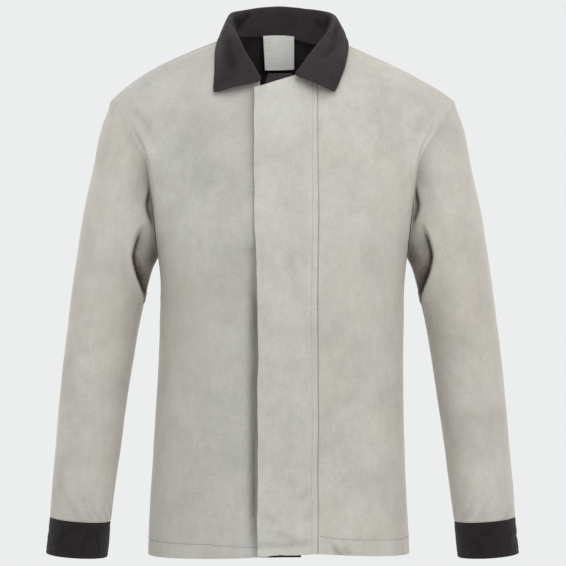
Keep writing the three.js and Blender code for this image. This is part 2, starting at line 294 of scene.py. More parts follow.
def forward(y: Array) -> Array:
    """Share of the folds in front of the armhole that a point takes by its depth."""
    return smooth((-4.0 - y) / 14.0)


def linear(red: int, green: int, blue: int) -> Colour:
    """Turn a display colour into the linear colour that shaders take.

    Args:
        red: red from 0 to 255.
        green: green from 0 to 255.
        blue: blue from 0 to 255.

    Returns:
        The colour as linear red, green, blue and full alpha.
    """
    shares = [value / 255.0 for value in (red, green, blue)]
    values = [s / 12.92 if s <= 0.04045 else ((s + 0.055) / 1.055) ** 2.4 for s in shares]
    return (values[0], values[1], values[2], 1.0)


@dataclass(frozen=True)
class Profile:
    """A smooth function through the rows of a table."""

    at: tuple[float, ...]
    value: tuple[float, ...]

    @classmethod
    def of(cls, rows: tuple, at: str, value: str) -> Profile:
        """Read two named columns of a table."""
        return cls(tuple(getattr(r, at) for r in rows), tuple(getattr(r, value) for r in rows))

    def __call__(self, x: Array) -> Array:
        """Evaluate the function.

        Args:
            x: places along the first column.

        Returns:
            The values of the second column there.
        """
        at = np.array(self.at)
        value = np.array(self.value)
        count = len(at)
        low = np.maximum(np.arange(count) - 1, 0)
        high = np.minimum(np.arange(count) + 1, count - 1)
        slope = (value[high] - value[low]) / (at[high] - at[low])
        i = np.clip(np.searchsorted(at, x) - 1, 0, count - 2)
        width = at[i + 1] - at[i]
        t = np.clip((x - at[i]) / width, 0.0, 1.0)
        rise = (value[i + 1] - value[i]) / width
        bend = (slope[i] - rise) * (1.0 - t) - (slope[i + 1] - rise) * t
        return blend(value[i], value[i + 1], t) + width * t * (1.0 - t) * bend


def spline(points: Array, t: Array, closed: bool = False) -> Array:
    """Points on Catmull-Rom curves: evenly knotted when closed, centripetal when open.

    Args:
        points: control points, as (..., count, 3).
        t: places along the curves, from 0 to 1.
        closed: whether the curves come back to their first point.

    Returns:
        The points, as (..., places, 3).
    """
    if closed:
        ends = [points[..., -1:, :], points, points[..., :2, :]]
        spans = points.shape[-2]
    else:
        first = 2.0 * points[..., :1, :] - points[..., 1:2, :]
        last = 2.0 * points[..., -1:, :] - points[..., -2:-1, :]
        ends = [first, points, last]
        spans = points.shape[-2] - 1
    knots = np.concatenate(ends, axis=-2)
    place = np.clip(t, 0.0, 1.0) * spans
    i = np.minimum(place.astype(int), spans - 1)
    w = (place - i)[:, None]
    p0, p1, p2, p3 = (knots[..., i + k, :] for k in range(4))
    power = 0.0 if closed else 0.5
    d0, d1, d2 = (
        np.maximum(np.linalg.norm(b - a, axis=-1, keepdims=True), 1e-6) ** power
        for a, b in ((p0, p1), (p1, p2), (p2, p3))
    )
    leave = ((p1 - p0) / d0 - (p2 - p0) / (d0 + d1) + (p2 - p1) / d1) * d1
    arrive = ((p2 - p1) / d1 - (p3 - p1) / (d1 + d2) + (p3 - p2) / d2) * d1
    square = 3.0 * (p2 - p1) - 2.0 * leave - arrive
    cube = 2.0 * (p1 - p2) + leave + arrive
    return p1 + w * (leave + w * (square + w * cube))


def curved(line: tuple[tuple[float, float], ...]) -> Array:
    """Many (x, z) points on a smooth curve through a few."""
    corners = np.array([(x, 0.0, z) for x, z in line], dtype=float)
    return spline(corners, np.linspace(0.0, 1.0, 41))[:, ::2]


def resampled(lines: Array, shares: Array, inset: float = 0.0) -> Array:
    """Points at even shares of the length of each line.

    Args:
        lines: fine points along each line, as (lines, fine, 3).
        shares: shares of the length, from 0 to 1.
        inset: length left out at the start of each line.

    Returns:
        The points, as (lines, shares, 3).
    """
    result = np.empty((len(lines), len(shares), 3))
    for index, line in enumerate(lines):
        steps = np.linalg.norm(np.diff(line, axis=0), axis=1)
        run = np.concatenate([[0.0], np.cumsum(steps)])
        wanted = blend(inset, run[-1], shares)
        for axis in range(3):
            result[index, :, axis] = np.interp(wanted, run, line[:, axis])
    return result


def spread(count: int, length: float, first: bool = True, last: bool = True) -> Array:
    """Shares from 0 to 1, with a few closer ones beside the sewn ends.

    Args:
        count: number of even cells.
        length: length in millimetres, which sets the closer places.
        first: whether the start gets closer places.
        last: whether the end gets closer places.

    Returns:
        The shares in rising order.
    """
    close = np.array([0.6, 1.3, 2.2]) / length
    parts = [np.linspace(0.0, 1.0, count + 1)]
    if first:
        parts.append(close)
    if last:
        parts.append(1.0 - close)
    return np.unique(np.concatenate(parts))


def gathered(count: int, begin: float, end: float, ratio: float) -> Array:
    """Shares from 0 to 1 that lie closer together between two places.

    Args:
        count: number of cells.
        begin: where the closer part begins.
        end: where it ends.
        ratio: how many times closer they lie there.

    Returns:
        The shares in rising order.
    """
    fine = np.linspace(0.0, 1.0, 2001)
    inside = smooth((fine - begin) / 0.04 + 0.5) * smooth((end - fine) / 0.04 + 0.5)
    run = np.cumsum(1.0 + (ratio - 1.0) * inside)
    run = (run - run[0]) / (run[-1] - run[0])
    return np.interp(np.linspace(0.0, 1.0, count + 1), run, fine)


def waves(points: Array, size: float, seed: float) -> Array:
    """Soft seeded noise over an array of points.

    Args:
        points: points in millimetres, as (..., 3).
        size: width of one wave in millimetres.
        seed: shift that picks another pattern.

    Returns:
        Values from about -1 to 1, one for each point.
    """
    flat = points.reshape(-1, 3) / size + seed
    values = [noise.noise(Vector(p)) for p in flat]
    return np.array(values).reshape(points.shape[:-1])


def rippled(points: Array, ripples: tuple[Ripple, ...]) -> Array:
    """Height of a few ripples together.

    Args:
        points: points in millimetres, as (..., 3).
        ripples: the ripples.

    Returns:
        The height at each point in millimetres.
    """
    return sum(ripple.height * waves(points, ripple.width, ripple.seed) for ripple in ripples)


def on_tube(turn: Array, along: Array) -> Array:
    """Places on a tube 100 mm wide, for a noise to read."""
    return np.stack([50.0 * np.cos(turn), 50.0 * np.sin(turn), along], axis=-1)


def pleats(values: Array, half: float) -> Array:
    """Share of a crease where a noise crosses 0: 1 in its middle and 0 from half on."""
    return np.maximum(0.0, 1.0 - np.abs(values) / half)


def from_line(line: Array | tuple[tuple[float, float], ...], x: Array, z: Array) -> tuple[Array, Array]:
    """Where points lie against a line in the front view.

    Args:
        line: (x, z) points of the line.
        x: x of the points.
        z: z of the points.

    Returns:
        The distance from the line, below 0 on its outer side where it falls, and the share along it.
    """
    corners = np.array(line)
    runs = np.linalg.norm(np.diff(corners, axis=0), axis=1)
    nearest = np.full(x.shape, np.inf)
    signed = np.zeros_like(x)
    place = np.zeros_like(x)
    start = 0.0
    for (x0, z0), (x1, z1), run in zip(corners[:-1], corners[1:], runs):
        t = np.clip(((x - x0) * (x1 - x0) + (z - z0) * (z1 - z0)) / run**2, 0.0, 1.0)
        away = np.hypot(x - blend(x0, x1, t), z - blend(z0, z1, t))
        inner = (z1 - z0) * (x - x0) - (x1 - x0) * (z - z0) > 0.0
        nearer = away < nearest
        nearest = np.where(nearer, away, nearest)
        signed = np.where(nearer, np.where(inner, away, -away), signed)
        place = np.where(nearer, (start + t * run) / runs.sum(), place)
        start += run
    return signed, place


def fold_share(fold: Fold, x: Array, z: Array) -> Array:
    """Share of a fold at each point, by its distance from the fold's line.

    Args:
        fold: the fold.
        x: x of the points.
        z: z of the points.

    Returns:
        The shares: 1 on the line, less at its ends, and 0 far away.
    """
    away, place = from_line(fold.line, x, z)
    ends = 0.35 + 0.65 * smooth(np.minimum(place, 1.0 - place) * 4.0)
    return ends * np.exp(-((away / fold.half) ** 2))


def fold_depth(folds: tuple[Fold, ...], x: Array, z: Array) -> Array:
    """How far a list of folds presses points in, in millimetres."""
    return sum((fold.depth * fold_share(fold, x, z) for fold in folds), np.zeros_like(x))


def fold_soil(folds: tuple[Fold, ...], x: Array, z: Array) -> Array:
    """How much shade is painted into a list of folds."""
    return sum((fold.soil * fold_share(fold, x, z) for fold in folds if fold.soil), np.zeros_like(x))


@dataclass
class Cloth:
    """A grid of points of one sheet in millimetres, with its outer side known.

    A ring repeats its first column as its last. A flipped grid has its outer side behind it. Its last field
    is the shade painted into its creases, from 0 to 1.
    """

    points: Array
    flipped: bool = False
    ring: bool = False
    soil: Array | None = None

    def normals(self) -> Array:
        """Outward unit normals.

        Returns:
            The normal at each point of the grid.
        """
        across = np.gradient(self.points, axis=1)
        if self.ring:
            seam = (self.points[:, 1] - self.points[:, -2]) / 2.0
            across[:, 0] = seam
            across[:, -1] = seam
        up = np.gradient(self.points, axis=0)
        cross = np.cross(across, up)
        unit = cross / np.maximum(np.linalg.norm(cross, axis=2, keepdims=True), 1e-9)
        return -unit if self.flipped else unit

    def runs(self) -> tuple[Array, Array]:
        """Lengths on the sheet.

        Returns:
            The length along each row from its first column, and along each column from its first row.
        """
        across = np.linalg.norm(np.diff(self.points, axis=1), axis=2)
        up = np.linalg.norm(np.diff(self.points, axis=0), axis=2)
        along_row = np.pad(np.cumsum(across, axis=1), ((0, 0), (1, 0)))
        along_column = np.pad(np.cumsum(up, axis=0), ((1, 0), (0, 0)))
        return along_row, along_column

    def reach(self, edge: Edge) -> Array:
        """Distance of each point from an edge, measured on the sheet.

        Args:
            edge: the edge.

        Returns:
            The distances in millimetres.
        """
        along_row, along_column = self.runs()
        if edge is Edge.FIRST_COLUMN:
            return along_row
        if edge is Edge.LAST_COLUMN:
            return along_row[:, -1:] - along_row
        if edge is Edge.FIRST_ROW:
            return along_column
        return along_column[-1:, :] - along_column

    def moved(self, out: Array) -> Cloth:
        """Sheet with each point moved outwards along its normal."""
        return Cloth(self.points + self.normals() * out[..., None], self.flipped, self.ring)

    def rolled(self, edges: tuple[Edge, ...], depth: float = 0.9, reach: float = 2.4) -> Cloth:
        """Sheet whose sewn edges turn in, so that two of them make a seam's valley.

        Args:
            edges: the edges that turn in.
            depth: how far they turn in.
            reach: width of the turn.

        Returns:
            The sheet.
        """
        inwards = np.zeros(self.points.shape[:2])
        for edge in edges:
            inwards += depth * np.clip(1.0 - self.reach(edge) / reach, 0.0, 1.0) ** 2
        return self.moved(-inwards)

    def sewn(self, seams: tuple[Seam, ...], seed: float) -> Cloth:
        """Sheet with the groove and the small puckers of its sewn lines.

        Args:
            seams: the sewn lines.
            seed: shift that picks the pattern of the puckers.

        Returns:
            The sheet.
        """
        out = np.zeros(self.points.shape[:2])
        for index, seam in enumerate(seams):
            away = self.reach(seam.edge) - self.inset(seam)
            ripple = waves(self.along(seam, seed * seam.pitch, 7.0 * index * seam.pitch), seam.pitch, 0.37)
            out -= seam.groove * np.exp(-((away / seam.groove_reach) ** 2))
            out += seam.pucker * ripple * np.exp(-((away / seam.reach) ** 2))
        return self.moved(out)

    def along(self, seam: Seam, second: float = 0.0, third: float = 0.0) -> Array:
        """Places along a sewn line for a noise to read.

        Args:
            seam: the sewn line.
            second: second coordinate of the places.
            third: third coordinate of the places.

        Returns:
            The places, as (rows, 1, 3) or (1, columns, 3).
        """
        along_row, along_column = self.runs()
        run = along_column[:, :1] if seam.upright else along_row[:1, :]
        return np.stack([run, np.full_like(run, second), np.full_like(run, third)], axis=-1)

    def inset(self, seam: Seam) -> Array:
        """Distance of a sewn line from its edge.

        Args:
            seam: the sewn line.

        Returns:
            The distances, as (rows, 1) or (1, columns).
        """
        places = self.along(seam)
        run, more = zip(*seam.levels)
        level = seam.inset + np.interp(places[..., 0], run, more)
        return level + seam.wander * (waves(places, 60.0, 0.71) + 0.5 * waves(places, 19.0, 0.33))

    def rounded(self, corners: tuple[tuple[Edge, Edge], ...], radius: float) -> Cloth:
        """Sheet with rounded corners.

        Args:
            corners: the column edge and the row edge that meet at each corner.
            radius: radius in millimetres.

        Returns:
            The sheet.
        """
        points = self.points.copy()
        steps = [np.gradient(self.points, axis=axis) for axis in (1, 0)]
        across, up = (step / np.maximum(np.linalg.norm(step, axis=2, keepdims=True), 1e-9) for step in steps)
        for column, row in corners:
            p = np.clip(1.0 - self.reach(column) / radius, 0.0, 1.0)
            q = np.clip(1.0 - self.reach(row) / radius, 0.0, 1.0)
            inwards = radius * p * (1.0 - np.sqrt(1.0 - q * q / 2.0))
            back = radius * q * (1.0 - np.sqrt(1.0 - p * p / 2.0))
            points += across * (inwards if column is Edge.FIRST_COLUMN else -inwards)[..., None]
            points += up * (back if row is Edge.FIRST_ROW else -back)[..., None]
        return Cloth(points, self.flipped, self.ring)

    def path(self, seam: Seam) -> tuple[Array, Array]:
        """Points and normals along a sewn line.

        Args:
            seam: the sewn line.

        Returns:
            The points and their normals, each as (count, 3).
        """
        away = self.reach(seam.edge)
        inset = self.inset(seam).ravel()
        points, normals = self.points, self.normals()
        if not seam.upright:
            away = away.T
            points, normals = points.transpose(1, 0, 2), normals.transpose(1, 0, 2)
        line = np.empty((len(away), 6))
        for index, distance in enumerate(away):
            both = np.concatenate([points[index], normals[index]], axis=1)
            order = np.argsort(distance)
            for axis in range(6):
                line[index, axis] = np.interp(inset[index], distance[order], both[order, axis])
        return line[:, :3], line[:, 3:]


def activate(obj: bpy.types.Object) -> None:
    """Make one object the only selected and active one.

    Args:
        obj: the object.
    """
    bpy.ops.object.select_all(action="DESELECT")
    obj.select_set(True)
    bpy.context.view_layer.objects.active = obj


def sheet_object(name: str, cloth: Cloth) -> bpy.types.Object:
    """Make a sheet's mesh from a grid primitive, with its lengths in metres as its UV map.

    Args:
        name: name of the piece.
        cloth: the grid of points.

    Returns:
        The open sheet, one layer thick, with its faces outwards.
    """
    rows, columns = cloth.points.shape[:2]
    bpy.ops.object.select_all(action="DESELECT")
    bpy.ops.mesh.primitive_grid_add(x_subdivisions=columns - 1, y_subdivisions=rows - 1, size=1.0)
    obj = bpy.context.object
    obj.name = name
    mesh = obj.data
    mesh.name = name
    mesh.vertices.foreach_set("co", (cloth.points * MM).astype(np.float32).ravel())
    along_row, along_column = cloth.runs()
    across = along_row - along_row[:, -1:] / 2.0
    corner = np.empty(len(mesh.loops), dtype=np.int32)
    mesh.loops.foreach_get("vertex_index", corner)
    uv = np.stack([across.ravel()[corner], along_column.ravel()[corner]], axis=1) * MM
    mesh.uv_layers[0].data.foreach_set("uv", uv.astype(np.float32).ravel())
    # The shade painted into the creases goes to the mesh as a point attribute.
    if cloth.soil is not None:
        dust = mesh.attributes.new("soil", "FLOAT", "POINT")
        dust.data.foreach_set("value", cloth.soil.astype(np.float32).ravel())
    mesh.update()
    bpy.ops.object.mode_set(mode="EDIT")
    bpy.ops.mesh.select_all(action="SELECT")
    if cloth.flipped:
        bpy.ops.mesh.flip_normals()
    if cloth.ring:
        bpy.ops.mesh.remove_doubles(threshold=1e-6)
    bpy.ops.object.mode_set(mode="OBJECT")
    return obj


def thickened(obj: bpy.types.Object, wall: float, heavy: Array | None = None) -> None:
    """Give a sheet its wall, inwards from its outer face.

    Args:
        obj: the open sheet.
        wall: thickness in millimetres.
        heavy: share of extra thickness at each point, for a hem turned up to a double layer.
    """
    activate(obj)
    solid = obj.modifiers.new("wall", "SOLIDIFY")
    solid.thickness = wall * MM
    solid.offset = -1.0
    if heavy is not None:
        group = obj.vertex_groups.new(name="hem")
        for index, weight in enumerate(heavy.ravel()):
            group.add([index], 0.5 + 0.5 * float(weight), "REPLACE")
        solid.thickness = 2.0 * wall * MM
        solid.vertex_group = "hem"
    bpy.ops.object.modifier_apply(modifier=solid.name)
    obj.vertex_groups.clear()
    bpy.ops.object.shade_smooth_by_angle(angle=math.radians(50.0))


class Shader:
    """A material's node tree, with short calls that add nodes and link them."""

    def __init__(self, name: str) -> None:
        """Start a material with its principled shader.

        Args:
            name: name of the material.
        """
        self.material = bpy.data.materials.new(name)
        self.material.use_nodes = True
        self.tree = self.material.node_tree

    def set(self, socket: Socket, value: object) -> None:
        """Link an output to a socket, or set the socket's value.

        Args:
            socket: the socket.
            value: output or value.
        """
        if isinstance(value, Socket):
            self.tree.links.new(value, socket)
        else:
            socket.default_value = value

    def fill(self, node: bpy.types.Node, inputs: dict[str, object]) -> None:
        """Fill the inputs of a node.

        Args:
            node: the node.
            inputs: output or value for each input, by the input's name with _ for a space.
        """
        for key, value in inputs.items():
            self.set(node.inputs[key.replace("_", " ")], value)

    def node(self, kind: str, **inputs: object) -> bpy.types.Node:
        """Add a node and fill its inputs.

        Args:
            kind: node type.
            inputs: output or value for each input, by the input's name with _ for a space.

        Returns:
            The node.
        """
        node = self.tree.nodes.new(kind)
        self.fill(node, inputs)
        return node

    def finished(self, **inputs: object) -> bpy.types.Material:
        """Fill the inputs of the principled shader.

        Args:
            inputs: output or value for each input, by the input's name with _ for a space.

        Returns:
            The material.
        """
        self.fill(self.tree.nodes["Principled BSDF"], inputs)
        return self.material

    def place(self, name: str = "Object") -> Socket:
        """Coordinates of the named kind: Object or UV."""
        return self.node("ShaderNodeTexCoord").outputs[name]

    def turned(self, vector: Socket, angles: tuple, scale: tuple = (1.0, 1.0, 1.0)) -> Socket:
        """Coordinates turned by angles in radians and stretched."""
        return self.node("ShaderNodeMapping", Vector=vector, Rotation=angles, Scale=scale).outputs["Vector"]

    def noise(self, vector: Socket, scale: float, detail: float, rough: float = 0.55) -> Socket:
        """Noise of a given scale on given coordinates."""
        node = self.node("ShaderNodeTexNoise", Vector=vector, Scale=scale, Detail=detail, Roughness=rough)
        return node.outputs["Fac"]

    def ramp(self, factor: Socket, stops: tuple[tuple[float, Colour], ...]) -> Socket:
        """Colour ramp.

        Args:
            factor: value that the ramp reads.
            stops: places from 0 to 1 with their colours.

        Returns:
            The colour.
        """
        node = self.node("ShaderNodeValToRGB", Fac=factor)
        bar = node.color_ramp
        while len(bar.elements) < len(stops):
            bar.elements.new(0.5)
        for element, (at, colour) in zip(bar.elements, stops):
            element.position = at
            element.color = colour
        return node.outputs["Color"]

    def greys(self, factor: Socket, *stops: tuple[float, float]) -> Socket:
        """Ramp of greys, from places with their levels."""
        return self.ramp(factor, tuple((at, (level, level, level, 1.0)) for at, level in stops))

    def mix(self, factor: object, a: object, b: object, mode: str = "MIX") -> Socket:
        """Mix two colours.

        Args:
            factor: share of the second colour.
            a: first colour.
            b: second colour.
            mode: blend mode.

        Returns:
            The colour.
        """
        node = self.tree.nodes.new("ShaderNodeMix")
        node.data_type = "RGBA"
        node.blend_type = mode
        for socket, value in zip((node.inputs["Factor"], node.inputs[6], node.inputs[7]), (factor, a, b)):
            self.set(socket, value)
        return node.outputs[2]

    def product(self, first: object, *others: object) -> Socket:
        """Multiply colours.

        Args:
            first: first colour.
            others: colours that it is multiplied by, in order.

        Returns:
            The colour.
        """
        for other in others:
            first = self.mix(1.0, first, other, "MULTIPLY")
        return first

    def soiled(self, unshaded: Socket, dust: Colour) -> Socket:
        """Darken a colour where the piece's attribute says that shade is painted.

        Args:
            unshaded: colour of the cloth without its painted shade.
            dust: what the colour is multiplied by where the shade is painted in full.

        Returns:
            The colour.
        """
        soil = self.node("ShaderNodeAttribute")
        soil.attribute_name = "soil"
        return self.mix(soil.outputs["Fac"], unshaded, self.product(unshaded, dust))

    def bump(self, height: Socket, strength: float, distance: float, after: Socket | None = None) -> Socket:
        """Bumped normal.

        Args:
            height: height that the bump reads.
            strength: strength from 0 to 1.
            distance: height of the relief in metres.
            after: normal that this one adds to.

        Returns:
            The normal.
        """
        node = self.node("ShaderNodeBump", Height=height, Strength=strength, Distance=distance)
        if after is not None:
            self.set(node.inputs["Normal"], after)
        return node.outputs["Normal"]


@dataclass(frozen=True)
class SplitLeather:
    """Light grey split leather: a soft nap, with faint warm and cool patches.

    Tone makes a hide lighter or darker than the table, and cast makes it warmer.
    """

    tone: float = 1.0
    cast: float = 0.0
    light: Colour = linear(208, 206, 200)
    middle: Colour = linear(200, 198, 191)
    dark: Colour = linear(189, 187, 181)
    warm: Colour = linear(201, 194, 181)
    patch: Colour = (0.89, 0.89, 0.885, 1.0)
    # Colour that the leather is multiplied by where shade is painted fully into its creases.
    dust: Colour = (0.13, 0.092, 0.066, 1.0)
    roughness: float = 0.93
    specular: float = 0.25
    sheen: float = 0.62
    sheen_roughness: float = 0.5
    nap_tint: Colour = (0.86, 0.79, 0.7, 1.0)

    def toned(self, colour: Colour) -> Colour:
        """Colour of this hide, from a colour of the table."""
        red, green, blue = (channel * self.tone for channel in colour[:3])
        return (red, green * (1.0 - self.cast / 2.0), blue * (1.0 - self.cast), 1.0)

    def material(self, name: str) -> bpy.types.Material:
        """Make the material.

        Args:
            name: name of the material.

        Returns:
            The material.
        """
        nodes = Shader(name)
        place = nodes.place()
        cloud = nodes.noise(place, 12.0, 5.0, 0.6)
        patch = nodes.noise(place, 60.0, 6.0, 0.65)
        brush = nodes.noise(nodes.turned(place, (0.0, 0.6, 0.0), (1.0, 1.0, 0.3)), 110.0, 4.0, 0.6)
        tint = nodes.noise(place, 8.5, 3.0)
        nap = nodes.noise(nodes.turned(place, (0.5, 0.4, 0.7)), 520.0, 4.0, 0.75)
        hide = ((0.3, self.dark), (0.5, self.middle), (0.7, self.light))
        base = nodes.ramp(cloud, tuple((at, self.toned(colour)) for at, colour in hide))
        warmth = nodes.greys(tint, (0.45, 0.0), (0.75, 0.6))
        unshaded = nodes.product(
            nodes.mix(warmth, base, self.toned(self.warm)),
            nodes.ramp(patch, ((0.25, self.patch), (0.75, (1.0, 1.0, 1.0, 1.0)))),
            nodes.greys(brush, (0.3, 0.93), (0.7, 1.0)),
            nodes.greys(nap, (0.3, 0.8), (0.7, 1.02)),
        )
        # The base colour darkens where shade is painted into the creases.
        return nodes.finished(
            Base_Color=nodes.soiled(unshaded, self.dust),
            Roughness=self.roughness,
            Specular_IOR_Level=self.specular,
            Sheen_Weight=self.sheen,
            Sheen_Roughness=self.sheen_roughness,
            Sheen_Tint=self.nap_tint,
            Normal=nodes.bump(nap, 0.6, 0.0005, nodes.bump(patch, 0.4, 0.0012)),
        )


@dataclass(frozen=True)
class DarkCotton:
    """Charcoal cotton drill: a fine diagonal weave with a little lint."""

    ground: Colour = linear(43, 35, 36)
    raised: Colour = linear(56, 47, 48)
    lint: Colour = linear(85, 75, 75)
    # Colour that the cotton is multiplied by where shade is painted fully into its creases.
    dust: Colour = (0.24, 0.13, 0.14, 1.0)
    weave: float = 318.3193
    roughness: float = 0.88
    specular: float = 0.3
    sheen: float = 0.08
    sheen_roughness: float = 0.5

    def material(self, name: str) -> bpy.types.Material:
        """Make the material.

        Args:
            name: name of the material.

        Returns:
            The material.
        """
        nodes = Shader(name)
        place = nodes.place()
        bands = {"Scale": self.weave, "Distortion": 1.2, "Detail": 2.0, "Detail_Scale": 3.0}
        twill = nodes.node("ShaderNodeTexWave", Vector=nodes.place("UV"), **bands)
        twill.wave_type = "BANDS"
        twill.bands_direction = "DIAGONAL"
        worn = nodes.noise(place, 26.0, 5.0, 0.6)
        fluff = nodes.noise(place, 420.0, 3.0, 0.75)
        lumps = nodes.noise(nodes.turned(place, (0.5, 0.4, 0.7)), 360.0, 3.0, 0.7)
        aged = nodes.product(
            nodes.mix(twill.outputs["Fac"], self.ground, self.raised),
            nodes.greys(worn, (0.32, 0.7), (0.68, 1.0)),
            nodes.greys(lumps, (0.36, 0.68), (0.64, 1.05)),
        )
        specks = nodes.greys(fluff, (0.62, 0.0), (0.8, 0.4))
        rib = nodes.bump(twill.outputs["Fac"], 0.5, 0.0003)
        # The base colour darkens where shade is painted into the creases.
        return nodes.finished(
            Base_Color=nodes.soiled(nodes.mix(specks, aged, self.lint), self.dust),
            Roughness=self.roughness,
            Specular_IOR_Level=self.specular,
            Sheen_Weight=self.sheen,
            Sheen_Roughness=self.sheen_roughness,
            Normal=nodes.bump(fluff, 0.25, 0.0004, rib),
        )


@dataclass(frozen=True)
class LabelTape:
    """Off-white woven tape with a slight gloss and fine cross ribs."""

    ground: Colour = linear(208, 207, 200)
    rib: Colour = linear(226, 225, 219)
    worn: Colour = (0.88, 0.88, 0.87, 1.0)
    roughness: float = 0.6

    def material(self, name: str) -> bpy.types.Material:
        """Make the material.

        Args:
            name: name of the material.

        Returns:
            The material.
        """
        nodes = Shader(name)
        flat = nodes.place("UV")
        ribs = nodes.node("ShaderNodeTexWave", Vector=flat, Scale=160.0, Distortion=0.6, Detail=2.0)
        ribs.bands_direction = "Y"
        base = nodes.mix(ribs.outputs["Fac"], self.ground, self.rib)
        patches = nodes.noise(nodes.place(), 60.0, 4.0)
        shade = nodes.ramp(patches, ((0.3, self.worn), (0.7, (1.0, 1.0, 1.0, 1.0))))
        return nodes.finished(
            Base_Color=nodes.product(base, shade),
            Roughness=self.roughness,
            Normal=nodes.bump(ribs.outputs["Fac"], 0.4, 0.0002),
        )


@dataclass(frozen=True)
class SewingThread:
    """Spun thread, in the colour of the cloth that it sews."""

    colour: Colour
    shadow: Colour
    roughness: float = 0.8

    def material(self, name: str) -> bpy.types.Material:
        """Make the material.

        Args:
            name: name of the material.

        Returns:
            The material.
        """
        nodes = Shader(name)
        twist = nodes.noise(nodes.place(), 1400.0, 2.0)
        return nodes.finished(
            Base_Color=nodes.ramp(twist, ((0.3, self.shadow), (0.7, self.colour))),
            Roughness=self.roughness,
            Normal=nodes.bump(twist, 0.4, 0.0002),
        )


@dataclass
class Wardrobe:
    """The finishes, made once, and the calls that hand a finished piece to the frame."""

    finishes: dict[str, bpy.types.Material]

    @classmethod
    def stocked(cls) -> Wardrobe:
        """Make all finishes; the leather is lightest on the flap and darkest on the right front.

        Returns:
            The wardrobe that holds them.
        """
        finishes = {
            "flap_leather": SplitLeather(0.98),
            "right_leather": SplitLeather(0.87),
            "left_leather": SplitLeather(0.96, 0.03),
            "sleeve_leather": SplitLeather(0.94, 0.04),
            "dark_cotton": DarkCotton(),
            # The back's cotton is darker than the collar's: painted shade for its inside, seen through the
            # neck.
            "back_cotton": DarkCotton(linear(31, 25, 26), linear(43, 36, 37), linear(72, 63, 63)),
            "cuff_cotton": DarkCotton(linear(26, 18, 19), linear(36, 27, 28), linear(59, 48, 48)),
            "label_tape": LabelTape(),
            "grey_thread": SewingThread(linear(136, 138, 146), linear(98, 100, 108)),
            "pale_thread": SewingThread(linear(166, 166, 166), linear(128, 128, 129)),
            "dark_thread": SewingThread(linear(58, 53, 54), linear(30, 27, 28)),
        }
        return cls({name: finish.material(name) for name, finish in finishes.items()})

    def dress(self, obj: bpy.types.Object, finish: str) -> None:
        """Give a piece its finish and let it ride on the jacket's one body.

        Args:
            obj: the piece.
            finish: name of the finish.
        """
        obj.data.materials.clear()
        obj.data.materials.append(self.finishes[finish])
        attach(obj, "root")
        faces = sum(len(face.vertices) - 2 for face in obj.data.polygons)
        log.info("%s: %d triangles, %s", obj.name, faces, finish)

    def sheet(
        self, obj: bpy.types.Object, node: str, finish: str
    ) -> None:
        """Dress a sheet that stands for a node of the frame, and hide that node.

        Args:
            obj: the piece.
            node: node that it replaces.
            finish: name of the finish.
        """
        self.dress(obj, finish)
        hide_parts(node)


@dataclass
class Stitching:
    """Rows of stitches in one thread, joined into one piece."""

    name: str
    finish: str
    slot: Slot
    length: float = 3.0
    gap: float = 1.0
    width: float = 0.75
    height: float = 0.55
    sides: int = 6
    margin: float = 2.0
    rise: float = 0.2
    tuck: float = 0.6

    def __post_init__(self) -> None:
        """Start with no stitches."""
        self.points: list[Array] = []
        self.faces: list[list[int]] = []

    def row(self, path: tuple[Array, Array]) -> None:
        """Add a row of stitches along a sewn line.

        Args:
            path: points of the line and the normals there.
        """
        line, normal = path
        steps = np.linalg.norm(np.diff(line, axis=0), axis=1)
        run = np.concatenate([[0.0], np.cumsum(steps)])
        keep = np.concatenate([[True], steps > 1e-6])
        for start in np.arange(self.margin, run[-1] - self.length - self.margin, self.length + self.gap):
            places = np.array([start, start + self.length / 2.0, start + self.length])
            at = np.stack([np.interp(places, run[keep], line[keep, k]) for k in range(3)], axis=1)
            out = np.array([np.interp(places[1], run[keep], normal[keep, k]) for k in range(3)])
            self.stitch(at[0], at[2], out)

    def stitch(self, a: Array, b: Array, out: Array) -> None:
        """Add one stitch: a short six-sided bead with tucked ends.

        Args:
            a: first needle hole.
            b: second needle hole.
            out: outward normal of the cloth.
        """
        along = (b - a) / np.linalg.norm(b - a)
        side = np.cross(along, out)
        side /= np.linalg.norm(side)
        up = np.cross(side, along)
        first = sum(len(block) for block in self.points)
        turn = 2.0 * np.pi * np.arange(self.sides) / self.sides
        section = np.cos(turn)[:, None] * side * self.width / 2.0
        section += np.sin(turn)[:, None] * up * self.height / 2.0
        centre = up * self.height * self.rise
        rings = [blend(a, b, share) + centre + section for share in (0.2, 0.8)]
        tips = np.stack([hole - up * self.height * self.tuck for hole in (a, b)])
        self.points.append(np.concatenate([rings[0], rings[1], tips]))
        n = self.sides
        for i in range(n):
            j = (i + 1) % n
            self.faces.append([first + i, first + j, first + n + j, first + n + i])
            self.faces.append([first + j, first + i, first + 2 * n])
            self.faces.append([first + n + i, first + n + j, first + 2 * n + 1])

    def finished(self, wardrobe: Wardrobe) -> bpy.types.Object:
        """Join the stitches into one mesh and dress it.

        Args:
            wardrobe: the finishes.

        Returns:
            The piece.
        """
        mesh = bpy.data.meshes.new(self.name)
        mesh.from_pydata((np.concatenate(self.points) * MM).tolist(), [], self.faces)
        obj = bpy.data.objects.new(self.name, mesh)
        bpy.context.collection.objects.link(obj)
        activate(obj)
        bpy.ops.object.mode_set(mode="EDIT")
        bpy.ops.mesh.select_all(action="SELECT")
        bpy.ops.mesh.normals_make_consistent(inside=False)
        bpy.ops.object.mode_set(mode="OBJECT")
        bpy.ops.object.shade_smooth()
        wardrobe.dress(obj, self.finish)
        return obj


